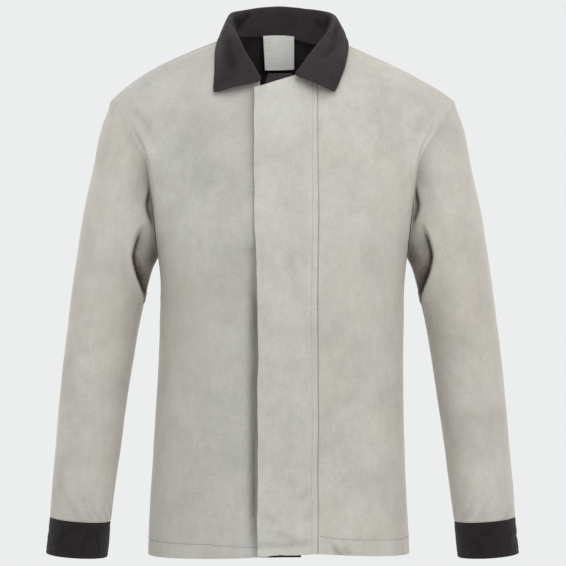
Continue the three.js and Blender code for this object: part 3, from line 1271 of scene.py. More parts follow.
@dataclass
class Trunk:
    """The two leather fronts and the cotton back, from the hem to the shoulder seams.

    Rows are given as a number of cells and the length that they cover.
    """

    leather: float = 1.6
    cotton: float = 1.2
    hem_depth: float = 18.0
    boxiness: float = 2.6
    ease: float = 1.5
    seam_inset: float = 0.0003
    shoulder_turn: float = 6.0
    flap_seam: float = 49.8
    hem_edge: float = -21.0
    yoke_share: float = 0.5
    corner: tuple[float, float] = (7.0 / 11.0, 8.0 / 11.0)
    slump: tuple[float, float] = (0.29, 0.15)
    hem_back: float = -752.0
    hem_right: tuple[float, float] = (-750.5, -756.5)
    hem_left: tuple[float, float] = (-746.0, -755.0)
    hem_rows: tuple[tuple[tuple[float, float], ...], ...] = (
        ((0, -4), (30, -3), (90, 2), (150, 4), (215, 5)),
        ((0, 8), (25, 6), (55, 4.5), (120, 5), (170, 6)),
    )
    allowance: tuple[float, float, float] = (-1.3, 3.0, 0.0)
    low_rows: tuple[int, float] = (118, 455.0)
    high_rows: tuple[int, float] = (76, 230.0)
    front_columns: int = 78
    back_columns: int = 60
    half_girth: float = 240.0
    seam_margin: float = 16.0
    level_fade: float = 0.6
    level_reach: float = 0.12
    kink_reach: tuple[float, float] = (0.09, 0.05)
    kink_rounds: tuple[int, int] = (160, 110)
    sway_width: float = 1.3
    sway_length: float = 75.0
    sway_reach: float = 25.0
    front_ripples: tuple[Ripple, ...] = (Ripple(1.3, 120.0, 3.1), Ripple(0.45, 38.0, 5.7))
    back_ripples: tuple[Ripple, ...] = (Ripple(1.6, 130.0, 9.3), Ripple(0.5, 42.0, 2.9))
    levels: tuple[TrunkLevel, ...] = (
        TrunkLevel(-758, 195, 184, 8),
        TrunkLevel(-640, 189, 178, 8),
        TrunkLevel(-480, 180, 175, 7),
        TrunkLevel(-385, 177, 175, 4),
        TrunkLevel(-356, 176.8, 176.8, 2),
        TrunkLevel(-328, 180, 180, 0),
    )
    middles: tuple[MiddleLevel, ...] = (
        MiddleLevel(-758, 110, 120),
        MiddleLevel(-640, 114, 116),
        MiddleLevel(-480, 117, 106),
        MiddleLevel(-385, 124, 116),
        MiddleLevel(-298, 128, 131),
        MiddleLevel(-235, 124, 138),
        MiddleLevel(-170, 113, 136),
        MiddleLevel(-112, 96, 124),
        MiddleLevel(-79, 83, 113),
        MiddleLevel(-40, 66, 95),
        MiddleLevel(0, 48, 72),
    )
    armhole_seam: tuple[ArmholeStation, ...] = (
        ArmholeStation("shoulder point", 250, 12, -101),
        ArmholeStation("front of the shoulder", 222, -48, -146),
        ArmholeStation("front", 195, -76, -192),
        ArmholeStation("front of the underarm", 184.5, -56, -270),
        ArmholeStation("underarm", 180, 0, -328),
        ArmholeStation("back of the underarm", 184.5, 58, -270),
        ArmholeStation("back", 206, 88, -192),
        ArmholeStation("back of the shoulder", 232, 62, -142),
    )
    valley_levels: tuple[ValleyLevel, ...] = (
        ValleyLevel(-350, 177, 0),
        ValleyLevel(-330, 178, 3),
        ValleyLevel(-290, 182, 3),
        ValleyLevel(-258, 185.5, 7),
        ValleyLevel(-233, 188.6, 9),
        ValleyLevel(-198, 192.5, 9),
        ValleyLevel(-174, 199, 7),
        ValleyLevel(-150, 212, 4),
        ValleyLevel(-128, 220, 0),
    )
    valley_reach: tuple[float, float] = (22.0, 3.2)
    lip_depth: float = 11.0
    lip_reach: tuple[float, float] = (9.0, 24.0)
    lip_span: tuple[float, float] = (-350.0, -165.0)
    lip_fade: tuple[float, float] = (60.0, 50.0)
    neck_seam: tuple[NeckStation, ...] = (
        NeckStation("nape", (0, 72, 0), (0, 72, 0)),
        NeckStation("back side", (-51, 51, -2), (50, 51, -13)),
        NeckStation("shoulder seam", (-78, 12, -8), (76, 12, -12)),
        NeckStation("front side", (-67, -40, -42), (66, -40, -44)),
        NeckStation("front end", (-32, -79, -80), (18, -86, -71)),
    )
    right_folds: tuple[Fold, ...] = (
        Fold("dent beside the flap", ((-40, -326), (-37, -400), (-37, -765)), 9, 14, 0.12),
        Fold("armhole crease", ((-222, -113), (-209, -126), (-196, -137), (-187, -163)), 7, 2.6, 0.12),
        Fold("side hollow", ((-150, -420), (-120, -560)), 40, 4),
        Fold("chest hollow", ((-120, -190), (-95, -260)), 34, 3),
    )
    left_folds: tuple[Fold, ...] = (
        Fold("armhole crease", ((222, -113), (209, -126), (196, -137), (187, -163)), 7, 2.6, 0.12),
        Fold("drag line to the hem", ((66, -560), (120, -690)), 20, 4, 0.05),
        Fold("chest hollow", ((150, -170), (110, -250)), 36, 3),
        Fold("hem fold", ((68, -733), (76, -742), (88, -757)), 3.5, 3.0, 0.3),
        Fold("second hem fold", ((86, -738), (97, -752)), 4, 1.8, 0.2),
        Fold("ridge between them", ((78, -737), (91, -752)), 4, -2.0),
    )
    back_folds: tuple[Fold, ...] = (
        Fold("right blade hollow", ((-205, -190), (-150, -300)), 30, 5),
        Fold("left blade hollow", ((205, -190), (150, -300)), 30, 5),
        Fold("right waist hollow", ((-150, -420), (-90, -500)), 34, 4),
        Fold("left waist hollow", ((150, -430), (84, -520)), 34, 4),
        Fold("middle hollow", ((6, -330), (-4, -620)), 40, 4),
    )

    def __post_init__(self) -> None:
        """Read the tables as smooth functions."""
        self.front_depth = Profile.of(self.middles, "z", "front")
        self.back_depth = Profile.of(self.middles, "z", "back")
        self.seam_depth = Profile.of(self.levels, "z", "seam")
        self.half_width = {side: Profile.of(self.levels, "z", side.label) for side in Side}
        self.underarm = self.levels[-1].z
        self.neck_end = self.neck(Side.RIGHT, np.array([1.0]))[0]

    def neck(self, side: Side, share: Array) -> Array:
        """Points of the neck seam, from the nape at 0 to the front end at 1."""
        return spline(np.array([getattr(s, side.label) for s in self.neck_seam], dtype=float), share)

    def armhole(self, side: Side, degrees: Array) -> Array:
        """Points of the armhole seam, from the shoulder point round the front.

        Args:
            side: side of the wearer.
            degrees: places round the armhole.

        Returns:
            The points.
        """
        loop = np.array([(side.value * s.out, s.y, s.z) for s in self.armhole_seam], dtype=float)
        return spline(loop, np.mod(degrees, 360.0) / 360.0, closed=True)

    def valley(self, points: Array, sleeve: bool) -> Array:
        """How far the cloth on each side of the armhole sinks behind the chest.

        Args:
            points: points of a sleeve or of a front.
            sleeve: whether they are a sleeve's, which sinks slowly, or a front's, which turns in sharply.

        Returns:
            The depth at each point in millimetres.
        """
        out, y, z = np.abs(points[..., 0]), points[..., 1], points[..., 2]
        line = tuple((level.out, level.z) for level in self.valley_levels[::-1])
        away, _ = from_line(curved(line), out, z)
        slope = np.exp(-((np.maximum(-away, 0.0) / self.valley_reach[0]) ** 2))
        turn = np.exp(-((np.maximum(away, 0.0) / self.valley_reach[1]) ** 2))
        depth = Profile.of(self.valley_levels, "z", "depth")(z) * forward(y)
        return depth * (slope if sleeve else turn)

    def lip(self, cloth: Cloth) -> Array:
        """How far a front's edge stands forward over the armpit, as a soft fold along the armhole.

        Args:
            cloth: the front.

        Returns:
            The distance at each point in millimetres.
        """
        z = cloth.points[..., 2]
        away = cloth.reach(Edge.LAST_COLUMN)
        rise, reach = self.lip_reach
        low, high = self.lip_span
        span = smooth((z - low) / self.lip_fade[0]) * smooth((high - z) / self.lip_fade[1])
        ridge = smooth(away / rise) * np.exp(-((np.maximum(away - rise, 0.0) / reach) ** 2))
        return self.lip_depth * span * ridge

    def sway(self, cloth: Cloth) -> Array:
        """How far the cloth beside the flap's seam, its first column, wanders sideways.

        Args:
            cloth: the left front or the flap.

        Returns:
            The distance at each point in millimetres.
        """
        z = cloth.points[..., 2]
        ripple = Ripple(self.sway_width, self.sway_length, 0.63)
        wander = rippled(np.stack([z, 0.0 * z, 0.0 * z], axis=-1), (ripple,))
        return wander * np.exp(-cloth.reach(Edge.FIRST_COLUMN) / self.sway_reach)

    def neck_at_flap(self) -> float:
        """Where the flap's seam meets the left neck seam.

        Returns:
            The share of the neck seam.
        """
        shares = np.linspace(0.5, 1.0, 4001)
        x = self.neck(Side.LEFT, shares)[:, 0]
        return float(np.interp(-self.flap_seam, -x, shares))

    def inner_edge(self, side: Side, face: Face, z: Array) -> Array:
        """Inner edge of a half panel at heights between the hem and the neck corner.

        Args:
            side: side of the wearer.
            face: front or back.
            z: the heights.

        Returns:
            The points.
        """
        if face is Face.BACK:
            return np.stack([np.zeros_like(z), self.back_depth(z), z], axis=-1)
        share = np.clip((z - self.hem_right[0]) / (self.neck_end[2] - self.hem_right[0]), 0.0, 1.0)
        x = np.full_like(z, self.flap_seam)
        if side is Side.RIGHT:
            x = blend(self.hem_edge, self.neck_end[0], share)
        angle = np.arcsin(np.abs(x) / self.half_width[side](z))
        return np.stack([x, -self.front_depth(z) * np.cos(angle) ** (2.0 / self.boxiness), z], axis=-1)

    def panel(self, side: Side, face: Face, t: Array, v: Array) -> Array:
        """Points of a half panel.

        Args:
            side: side of the wearer.
            face: front or back.
            t: shares from the inner edge to the side seam or armhole.
            v: shares from the hem, through the underarm at yoke_share, to the shoulder seam.

        Returns:
            The points, as (v, t, 3).
        """
        front = face is Face.FRONT
        low = (v < self.yoke_share)[:, None]
        hem = self.hem_right if side is Side.RIGHT else self.hem_left
        climb = np.clip(v / self.yoke_share, 0.0, 1.0)
        seam_z = blend(hem[1], self.underarm, 1.0 - (1.0 - climb) ** self.ease)
        low_z = blend(hem[0] if front else self.hem_back, self.underarm, climb)
        low_inner = self.inner_edge(side, face, low_z)
        low_x = side.value * self.half_width[side](seam_z)
        low_outer = np.stack([low_x, self.seam_depth(seam_z), seam_z], axis=-1)
        rise = np.clip((v - self.yoke_share) / (1.0 - self.yoke_share), 0.0, 1.0)
        degrees = 180.0 * (1.0 - rise**self.ease)
        corner = 0.0
        if front:
            corner = 1.0 if side is Side.RIGHT else self.neck_at_flap()
        corner_share = self.corner[0] if front else self.corner[1]
        corner_point = self.neck(side, np.array([corner]))[0]
        up = np.clip(rise / corner_share, 0.0, 1.0)
        over = np.clip((rise - corner_share) / (1.0 - corner_share), 0.0, 1.0)
        high_inner = self.inner_edge(side, face, blend(self.underarm, corner_point[2], up))
        high_inner[:, 1] = blend(high_inner[:, 1], corner_point[1], up**3)
        neck_inner = self.neck(side, blend(corner, 0.5, over))
        high_inner = np.where((over > 0.0)[:, None], neck_inner, high_inner)
        high_outer = self.armhole(side, degrees if front else -degrees)
        inner = np.where(low, low_inner, high_inner)
        outer = np.where(low, low_outer, high_outer)
        crown = np.where(low[:, 0], 0.0, inner[:, 0] * smooth(up))
        turn = np.radians(np.where(low[:, 0], 90.0, blend(self.shoulder_turn, 90.0, degrees / 180.0)))
        box = np.where(low[:, 0], self.boxiness, blend(self.boxiness, 2.0, smooth(rise)))
        slump = np.where(low[:, 0], 0.0, (self.slump[0] if side is Side.RIGHT else self.slump[1]) * rise)
        level = np.zeros_like(v) if front else 1.0 - smooth(over / self.level_fade)
        return self.sections(inner, outer, Bend(crown, turn, box, slump, level), t)

    def sections(self, inner: Array, outer: Array, bend: Bend, t: Array) -> Array:
        """Rounded sections from inner to outer edge points.

        Args:
            inner: inner edge points.
            outer: outer edge points.
            bend: how each section curves.
            t: shares across the section.

        Returns:
            The points, as (rows, t, 3).
        """
        crown, turn, box, slump, level = (values[:, None] for values in bend)
        reach = outer[:, :1] - crown
        whole = np.sin(turn) ** (2.0 / box)
        offset = np.abs(inner[:, :1] - crown) / np.abs(reach) * whole
        start = np.arcsin(np.clip(offset, 0.0, 1.0) ** (box / 2.0))
        angle = blend(start, turn, t[None, :])
        x = crown + reach * np.sin(angle) ** (2.0 / box) / whole
        fall = 1.0 - np.clip(np.cos(angle), 0.0, 1.0) ** (2.0 / box)
        fall_start = 1.0 - np.cos(start) ** (2.0 / box)
        fall_end = 1.0 - np.clip(np.cos(turn), 0.0, 1.0) ** (2.0 / box)
        y = inner[:, 1:2] + (outer[:, 1:2] - inner[:, 1:2]) * (fall - fall_start) / (fall_end - fall_start)
        share = np.clip((x - inner[:, :1]) / (outer[:, :1] - inner[:, :1]), 0.0, 1.0)
        share *= 1.0 - level * np.exp(-share / self.level_reach)
        z = blend(inner[:, 2:], outer[:, 2:], blend(share, share**4, slump))
        return np.stack([x, y, z], axis=-1)

    def rows(self) -> Array:
        """Shares of a panel's rows, closer beside the hem and the shoulder seam.

        Returns:
            The shares in rising order, with one at each neck corner.
        """
        low = spread(*self.low_rows, last=False) * self.yoke_share
        high = blend(self.yoke_share, 1.0 - self.seam_inset, spread(*self.high_rows, first=False))
        corners = blend(self.yoke_share, 1.0, np.array(self.corner))
        return np.union1d(np.concatenate([low, high[1:]]), corners)

    def eased(self, face: Face, points: Array, rows: Array, across: Array) -> Array:
        """Grid with the kinks at underarm height and at the neck corner smoothed out, its outer edge kept.

        Args:
            face: front or back.
            points: the grid.
            rows: shares of its rows.
            across: shares of its columns, from the inner edge.

        Returns:
            The grid.
        """
        result = points.copy()
        inside = smooth((1.0 - across) * 6.0)
        corner = blend(self.yoke_share, 1.0, self.corner[0 if face is Face.FRONT else 1])
        places = (self.yoke_share, corner)
        parts = (inside, inside * smooth(across * 5.0))
        for place, width, rounds, share in zip(places, self.kink_reach, self.kink_rounds, parts):
            near = np.exp(-(((rows - place) / width) ** 2))[1:-1, None, None] * share[None, :, None]
            for _ in range(rounds):
                even = 0.5 * (result[:-2] + result[2:])
                result[1:-1] += 0.5 * near * (even - result[1:-1])
        return result

    def front_edge(self, side: Side, v: Array) -> Array:
        """Inner edge of a front, eased as the whole panel is.

        Args:
            side: side of the wearer.
            v: shares of the panel's height.

        Returns:
            The points.
        """
        rows = self.rows()
        column = np.array([0.0])
        edge = self.eased(Face.FRONT, self.panel(side, Face.FRONT, column, rows), rows, column)[:, 0]
        points = self.panel(side, Face.FRONT, column, v)[:, 0]
        for axis in (0, 1):
            points[:, axis] = np.interp(points[:, 2], edge[:, 2], edge[:, axis])
        return points

    def hem_share(self, cloth: Cloth) -> Array:
        """Share of double thickness at each point: 1 inside the turned-up hem."""
        return smooth((self.hem_depth + 1.0 - cloth.reach(Edge.FIRST_ROW)) / 2.0)

    def free_share(self, cloth: Cloth) -> Array:
        """Share of the folds that a panel takes: 0 at its outer seams and 1 further in."""
        nearest = np.minimum(cloth.reach(Edge.LAST_COLUMN), cloth.reach(Edge.LAST_ROW))
        return smooth(nearest / self.seam_margin)

    def front(self, side: Side, wardrobe: Wardrobe, thread: Stitching) -> None:
        """Make a front.

        Args:
            side: side of the wearer.
            wardrobe: the finishes.
            thread: the stitches that its hem adds to.
        """
        rows = self.rows()
        across = gathered(self.front_columns, begin=0.95, end=1.05, ratio=4.0)
        across = np.union1d(across, spread(1, self.half_girth))
        across = blend(self.seam_inset, 1.0 - self.seam_inset, across)
        points = self.eased(Face.FRONT, self.panel(side, Face.FRONT, across, rows), rows, across)
        plain = Cloth(points, flipped=side is Side.RIGHT)
        folds = self.right_folds if side is Side.RIGHT else self.left_folds
        inside = self.free_share(plain)
        if side is Side.LEFT:
            inside *= smooth(plain.reach(Edge.FIRST_COLUMN) / self.seam_margin)
        out = -fold_depth(folds, points[..., 0], points[..., 2]) * inside
        out += inside * rippled(points, self.front_ripples)
        levels = self.hem_rows[0 if side is Side.RIGHT else 1]
        hem = Seam(
            Edge.FIRST_ROW, self.hem_depth, groove=0.9, pucker=0.9,
            pitch=19.0, reach=13.0, wander=0.8, levels=levels,
        )
        side_seam = Seam(Edge.LAST_COLUMN, 1.5, groove=0.2, pucker=0.45, pitch=15.0, reach=8.0)
        cloth = plain.moved(out)
        cloth = cloth.sewn((hem, side_seam), 1.7 * side.value)
        cloth = cloth.rolled((Edge.LAST_COLUMN, Edge.LAST_ROW), depth=0.35, reach=3.0)
        cloth.points[..., 1] += self.valley(points, False) - self.lip(plain)
        if side is Side.LEFT:
            cloth = cloth.rolled((Edge.FIRST_COLUMN,), depth=1.1, reach=2.6)
            cloth.points[:, 0] += self.allowance
            cloth.points[..., 0] += self.sway(plain)
        # Shade painted into the folds' creases; beside the flap it paints the flap's shadow.
        cloth.soil = np.clip(fold_soil(folds, points[..., 0], points[..., 2]), 0.0, 1.0)
        obj = sheet_object(f"{side.label}_front_leather", cloth)
        thickened(obj, self.leather, self.hem_share(cloth))
        wardrobe.sheet(obj, f"front_{side.label}", f"{side.label}_leather")
        thread.row(cloth.path(hem))

    def back(self, wardrobe: Wardrobe, thread: Stitching) -> None:
        """Make the back from two halves that share the middle line.

        Args:
            wardrobe: the finishes.
            thread: the stitches that its hem adds to.
        """
        rows = self.rows()
        across = spread(self.back_columns, self.half_girth, first=False) * (1.0 - self.seam_inset)
        halves = []
        hem = Seam(Edge.FIRST_ROW, self.hem_depth)
        for side in Side:
            points = self.eased(Face.BACK, self.panel(side, Face.BACK, across, rows), rows, across)
            plain = Cloth(points, flipped=side is Side.LEFT)
            out = rippled(points, self.back_ripples)
            out -= fold_depth(self.back_folds, points[..., 0], points[..., 2])
            out *= self.free_share(plain)
            normal = plain.normals()
            normal[:, 0] *= (0.0, 1.0, 1.0)
            cloth = Cloth(points + normal * out[..., None], plain.flipped)
            cloth = cloth.rolled((Edge.LAST_COLUMN, Edge.LAST_ROW))
            halves.append(sheet_object(f"back_half_{side.label}", cloth))
            thread.row(cloth.path(hem))
        activate(halves[0])
        halves[1].select_set(True)
        bpy.ops.object.join()
        obj = bpy.context.object
        obj.name = "back_cotton"
        obj.data.name = "back_cotton"
        bpy.ops.object.mode_set(mode="EDIT")
        bpy.ops.mesh.select_all(action="SELECT")
        bpy.ops.mesh.remove_doubles(threshold=2e-5)
        bpy.ops.object.mode_set(mode="OBJECT")
        thickened(obj, self.cotton)
        wardrobe.sheet(obj, "back", "back_cotton")


@dataclass
class FrontClosing:
    """The storm flap over the front opening, and the dark strip that shows beyond its ends."""

    leather: float = 1.6
    cotton: float = 1.2
    seam_gap: float = 0.35
    top: float = -90.0
    bottom: float = -748.0
    seam_share: float = 0.99
    topstitch: float = 8.6
    strip_free: tuple[float, float] = (26.0, 14.0)
    strip_rise: float = 18.0
    strip_dip: float = 7.0
    strip_corner: tuple[float, float] = (0.16, 0.27)
    strip_sink: float = 3.0
    strip_rows: int = 140
    strip_columns: int = 34
    half_chest: float = 187.0
    flap_rows: int = 186
    flap_columns: tuple[int, float] = (30, 92.0)
    seam_margin: float = 20.0
    foot_reach: float = 16.0
    foot_height: float = 13.0
    foot_half: float = 4.5
    foot_depth: float = 2.2
    # Shade painted into the crease above the flap's foot.
    foot_soil: float = 0.16
    fray_reach: float = 14.0
    ripples: tuple[Ripple, ...] = (Ripple(1.1, 90.0, 6.1), Ripple(0.45, 30.0, 8.3), Ripple(0.2, 13.0, 2.7))
    foot_ripples: tuple[Ripple, ...] = (Ripple(1.6, 34.0, 1.9),)
    crease_ripples: tuple[Ripple, ...] = (Ripple(3.0, 40.0, 2.3),)
    edge_ripples: tuple[Ripple, ...] = (Ripple(1.5, 70.0, 4.4), Ripple(0.9, 21.0, 1.4))
    fray_ripples: tuple[Ripple, ...] = (Ripple(1.2, 7.0, 5.2),)
    hem_ripples: tuple[Ripple, ...] = (Ripple(1.6, 21.0, 7.7), Ripple(0.8, 7.0, 3.7))
    lifts: tuple[FlapLevel, ...] = (
        FlapLevel(-748, -35.0, 7),
        FlapLevel(-690, -34.5, 7.5),
        FlapLevel(-560, -34.0, 7.5),
        FlapLevel(-400, -34.5, 6.5),
        FlapLevel(-330, -36.5, 4.5),
        FlapLevel(-270, -39.0, 2.5),
        FlapLevel(-90, -39.5, 2.5),
    )
    folds: tuple[Fold, ...] = (
        Fold("drag line", ((9, -322), (13, -350), (21, -402)), 8, 1.6, 0.12),
        Fold("foot crease", ((-14, -716), (6, -722), (24, -734)), 6, 1.6, 0.14),
        Fold("second foot crease", ((-28, -690), (-8, -702)), 6, 1.4, 0.12),
        Fold("seam crease", ((24, -672), (44, -650)), 4, 1.4, 0.14),
        Fold("second seam crease", ((30, -700), (47, -684)), 4, 1.4, 0.14),
        Fold("third seam crease", ((4, -640), (20, -652)), 5, 1.2, 0.1),
    )

    def flap(self, trunk: Trunk, wardrobe: Wardrobe, thread: Stitching) -> None:
        """Make the flap: it starts on the left front's edge and stands off the right front.

        Args:
            trunk: the trunk that it is sewn to.
            wardrobe: the finishes.
            thread: the stitches that its topstitch adds to.
        """
        lift = Profile.of(self.lifts, "z", "lift")
        v = np.linspace(0.0, 1.0, self.flap_rows)
        u = spread(*self.flap_columns)
        corner_v = blend(trunk.yoke_share, 1.0, trunk.corner[0])
        seam = trunk.front_edge(Side.LEFT, v * corner_v * self.seam_share)
        seam[:, 0] -= self.seam_gap
        free_z = blend(self.bottom, self.top, v)
        free_x = Profile.of(self.lifts, "z", "x")(free_z)
        free = np.stack([free_x, -trunk.front_depth(free_z) - lift(free_z), free_z], axis=-1)
        points = blend(seam[:, None], free[:, None], u[None, :, None])
        flat = -trunk.front_depth(points[..., 2]) - lift(points[..., 2]) * u
        points[..., 1] = blend(points[..., 1], flat, smooth(2.5 * u))
        plain = Cloth(points, flipped=True)
        inside = smooth(plain.reach(Edge.FIRST_COLUMN) / self.seam_margin)
        rise = plain.reach(Edge.FIRST_ROW)
        foot = np.exp(-rise / self.foot_reach)
        crease = rise - self.foot_height - rippled(points, self.crease_ripples)
        roll = np.exp(-((crease / self.foot_half) ** 2))
        out = rippled(points, self.ripples) + foot * rippled(points, self.foot_ripples)
        out -= self.foot_depth * roll + fold_depth(self.folds, points[..., 0], points[..., 2])
        cloth = plain.moved(out * inside)
        upwards = np.stack([points[..., 2], points[..., 0], points[..., 1]], axis=-1)
        ragged = rippled(upwards, self.edge_ripples)
        ragged += np.exp(-rise / self.fray_reach) * rippled(upwards, self.fray_ripples)
        cloth.points[..., 0] += ragged * u**2
        cloth.points[..., 2] += foot * inside * rippled(points, self.hem_ripples)
        row = Seam(Edge.FIRST_COLUMN, self.topstitch, groove=0.15, pitch=12.0, reach=7.0, wander=0.6)
        cloth = cloth.sewn((row,), 2.2)
        cloth = cloth.rolled((Edge.FIRST_COLUMN,), reach=2.6)
        cloth.points[..., 0] += trunk.sway(plain)
        # Shade painted into the flap's creases and the crease above its foot.
        dust = fold_soil(self.folds, points[..., 0], points[..., 2]) + self.foot_soil * roll
        cloth.soil = np.clip(dust * inside, 0.0, 1.0)
        obj = sheet_object("storm_flap_leather", cloth)
        thickened(obj, self.leather)
        wardrobe.sheet(obj, "storm_flap", "flap_leather")
        thread.row(cloth.path(row))

    def strip(self, trunk: Trunk, wardrobe: Wardrobe) -> None:
        """Make the strip: it starts on the right front's edge and lies deeper under the flap.

        Args:
            trunk: the trunk that it is sewn to.
            wardrobe: the finishes.
        """
        v = np.linspace(0.0, 1.0, self.strip_rows)
        u = np.linspace(0.0, 1.0, self.strip_columns)
        corner_v = blend(trunk.yoke_share, 1.0, trunk.corner[0])
        edge = trunk.front_edge(Side.RIGHT, v * corner_v)
        free = blend(self.strip_free[0], self.strip_free[1], v**4)
        x = blend(edge[:, :1], free[:, None], u[None, :])
        begin, end = self.strip_corner
        rise = self.strip_rise * smooth((u - begin) / (end - begin)) - self.strip_dip
        z = edge[:, 2:] + rise[None, :] * (v**8)[:, None]
        y = self.chest(trunk, x, z) + self.strip_sink * smooth(2.0 * u)
        pressed = fold_depth(trunk.right_folds, edge[:, 0], edge[:, 2])
        step = edge[:, 1] + pressed - self.chest(trunk, edge[:, 0], edge[:, 2])
        y += step[:, None] * (1.0 - u)
        plain = Cloth(np.stack([x, y, z], axis=-1))
        obj = sheet_object("front_strip_cotton", plain)
        thickened(obj, self.cotton)
        wardrobe.sheet(obj, "front_strip", "dark_cotton")

    def chest(self, trunk: Trunk, x: Array, z: Array) -> Array:
        """Depth of the trunk's front near the middle, folds included.

        Args:
            trunk: the trunk.
            x: x of the points.
            z: z of the points.

        Returns:
            The y of the points.
        """
        angle = np.arcsin(np.abs(x) / self.half_chest)
        plain = -trunk.front_depth(z) * np.cos(angle) ** (2.0 / trunk.boxiness)
        return plain + fold_depth(trunk.right_folds, x, z)


@dataclass
class Sleeves:
    """The two leather sleeves and their cotton cuffs."""

    leather: float = 1.6
    doubled: float = 2.4
    head_gap: float = 0.1
    cap: float = 3.6
    cap_level: float = -152.0
    cap_reach: float = 36.0
    columns: int = 196
    rings: int = 190
    length: float = 610.0
    join: float = 196.0
    gather_depth: float = 2.6
    gather_reach: float = 18.0
    # Shade painted into the gathers above the cuff.
    gather_soil: float = 0.28
    crumple: float = 0.8
    # Shade painted beside the armhole, by the depth of its valley.
    valley_soil: float = 0.03
    sections: tuple[SleeveRing, ...] = (
        SleeveRing("sleeve head", 235, 4, -290, 71, 80, 48),
        SleeveRing("upper arm", 245.5, 2, -345, 55, 74, 16),
        SleeveRing("above the elbow", 259, -3, -425, 51.2, 66, 9),
        SleeveRing("elbow", 269.5, -8, -500, 49.2, 60, 8),
        SleeveRing("forearm", 280.7, -16, -605, 46.6, 53, 7),
        SleeveRing("above the cuff", 287.8, -22, -672, 44.8, 48.5, 7),
        SleeveRing("cuff seam", 290.8, -25, -705, 43.8, 46, 4.5),
    )
    cuff_end: SleeveRing = SleeveRing("cuff end", 295.5, -29, -756, 44.2, 45.5, 4)
    front_folds: tuple[Fold, ...] = (
        Fold("elbow crease", ((244, -452), (292, -478)), 13, 3),
        Fold("forearm crease", ((262, -560), (306, -586)), 13, 2.5),
    )
    # The last column of each drop is shade painted below its lip, on its lobe, lower down and beyond it.
    drops: tuple[Drop, ...] = (
        Drop(
            "upper armpit fold",
            ((189, -222), (197, -243), (199, -259), (195, -274), (185, -289)),
            8, 12, 4, (0.4, 0.15, 0.0, 0.0),
        ),
        Drop(
            "lower armpit fold",
            ((197, -279), (214, -305), (220, -327), (217, -348), (211, -368), (199, -402), (188, -436)),
            17, 24, 6, (0.45, 0.42, 0.5, 0.36),
        ),
    )
    back_folds: tuple[Fold, ...] = (
        Fold("back armpit fold", ((206, -226), (204, -268), (196, -300)), 9, 6),
        Fold("back drag line", ((212, -322), (236, -352)), 12, 4),
        Fold("elbow hollow", ((240, -462), (300, -500)), 16, 4),
        Fold("second elbow hollow", ((244, -520), (300, -540)), 14, 3),
    )

    def angles(self) -> Array:
        """Angles of the columns, from the join once round, closer over the folds in front of the armpit."""
        return self.join + 360.0 * gathered(self.columns, begin=0.65, end=0.96, ratio=2.4)

    def ring(self, side: Side, section: SleeveRing, degrees: Array) -> Array:
        """Points of a section: 0 degrees is outside, 90 in front and 180 towards the body.

        Args:
            side: side of the wearer.
            section: the section.
            degrees: places round it.

        Returns:
            The points.
        """
        turn = np.radians(degrees)
        tilt = math.radians(section.tilt)
        out = section.x + section.half * np.cos(turn) * math.cos(tilt)
        y = section.y - section.depth * np.sin(turn)
        z = section.z + section.half * np.cos(turn) * math.sin(tilt)
        return np.stack([side.value * out, y, z], axis=-1)

    def sleeve(self, side: Side, trunk: Trunk, wardrobe: Wardrobe) -> None:
        """Make a sleeve from the armhole to the cuff seam.

        Args:
            side: side of the wearer.
            trunk: the trunk whose armhole it is set into.
            wardrobe: the finishes.
        """
        degrees = self.angles()
        stations = [trunk.armhole(side, degrees)]
        stations += [self.ring(side, section, degrees) for section in self.sections]
        fine = spline(np.stack(stations, axis=1), np.linspace(0.0, 1.0, 700))
        shares = gathered(self.rings, begin=0.0, end=0.38, ratio=2.2)
        shares = np.union1d(shares, spread(1, self.length))
        points = resampled(fine, shares, self.head_gap).transpose(1, 0, 2)
        plain = Cloth(points, flipped=side is Side.RIGHT, ring=True)
        x, y, z = side.value * points[..., 0], points[..., 1], points[..., 2]
        head = plain.reach(Edge.FIRST_ROW)
        foot = plain.reach(Edge.LAST_ROW)
        inside = smooth(head / 14.0) * smooth(foot / 10.0)
        front = smooth((8.0 - y) / 16.0)
        out = -fold_depth(self.front_folds, x, z) * inside * front
        out -= fold_depth(self.back_folds, x, z) * inside * (1.0 - front)
        ripples = (Ripple(1.2, 95.0, 11.3 + side.value), Ripple(0.4, 34.0, 3.3))
        out += inside * rippled(points, ripples)
        turn = np.radians(degrees)[None, :] + np.zeros_like(z)
        twisted = on_tube(turn + 0.016 * foot, 0.15 * foot)
        low = np.exp(-foot / self.gather_reach)
        gathers = low * pleats(waves(twisted, 24.0, 2.1 + side.value), half=0.2)
        out -= self.gather_depth * gathers * smooth(foot / 7.0)
        outer = smooth((np.cos(turn) - 0.2) / 0.6) * smooth(head / 34.0)
        out += self.cap * np.exp(-(((z - self.cap_level) / self.cap_reach) ** 2)) * outer
        out += 0.35 * waves(on_tube(turn, 0.12 * foot), 9.0, 8.8) * np.exp(-head / 9.0)
        near = smooth(head / 10.0)
        inner = near * forward(y)
        # The armpit folds sink the cloth and give the shade painted below their lips and on their lobes.
        sunk, dust, lean = np.sum([drop.measures(x, z) for drop in self.drops], axis=0)
        lobes = inner * dust
        slant = np.stack([0.6 * (x + z), y, 1.4 * (x - z)], axis=-1)
        crumple = waves(slant, 13.0, 6.4) + 0.6 * waves(points, 6.0, 2.8)
        out += self.crumple * np.minimum(lobes, 0.8) * crumple
        cloth = plain.moved(out)
        valley = trunk.valley(points, True)
        cloth.points[..., 1] += inner * sunk + valley
        facing = near * smooth((-12.0 - y) / 34.0)
        cloth.points[..., 0] -= side.value * facing * lean
        cloth = cloth.rolled((Edge.FIRST_ROW,), depth=0.35, reach=3.0).rolled((Edge.LAST_ROW,))
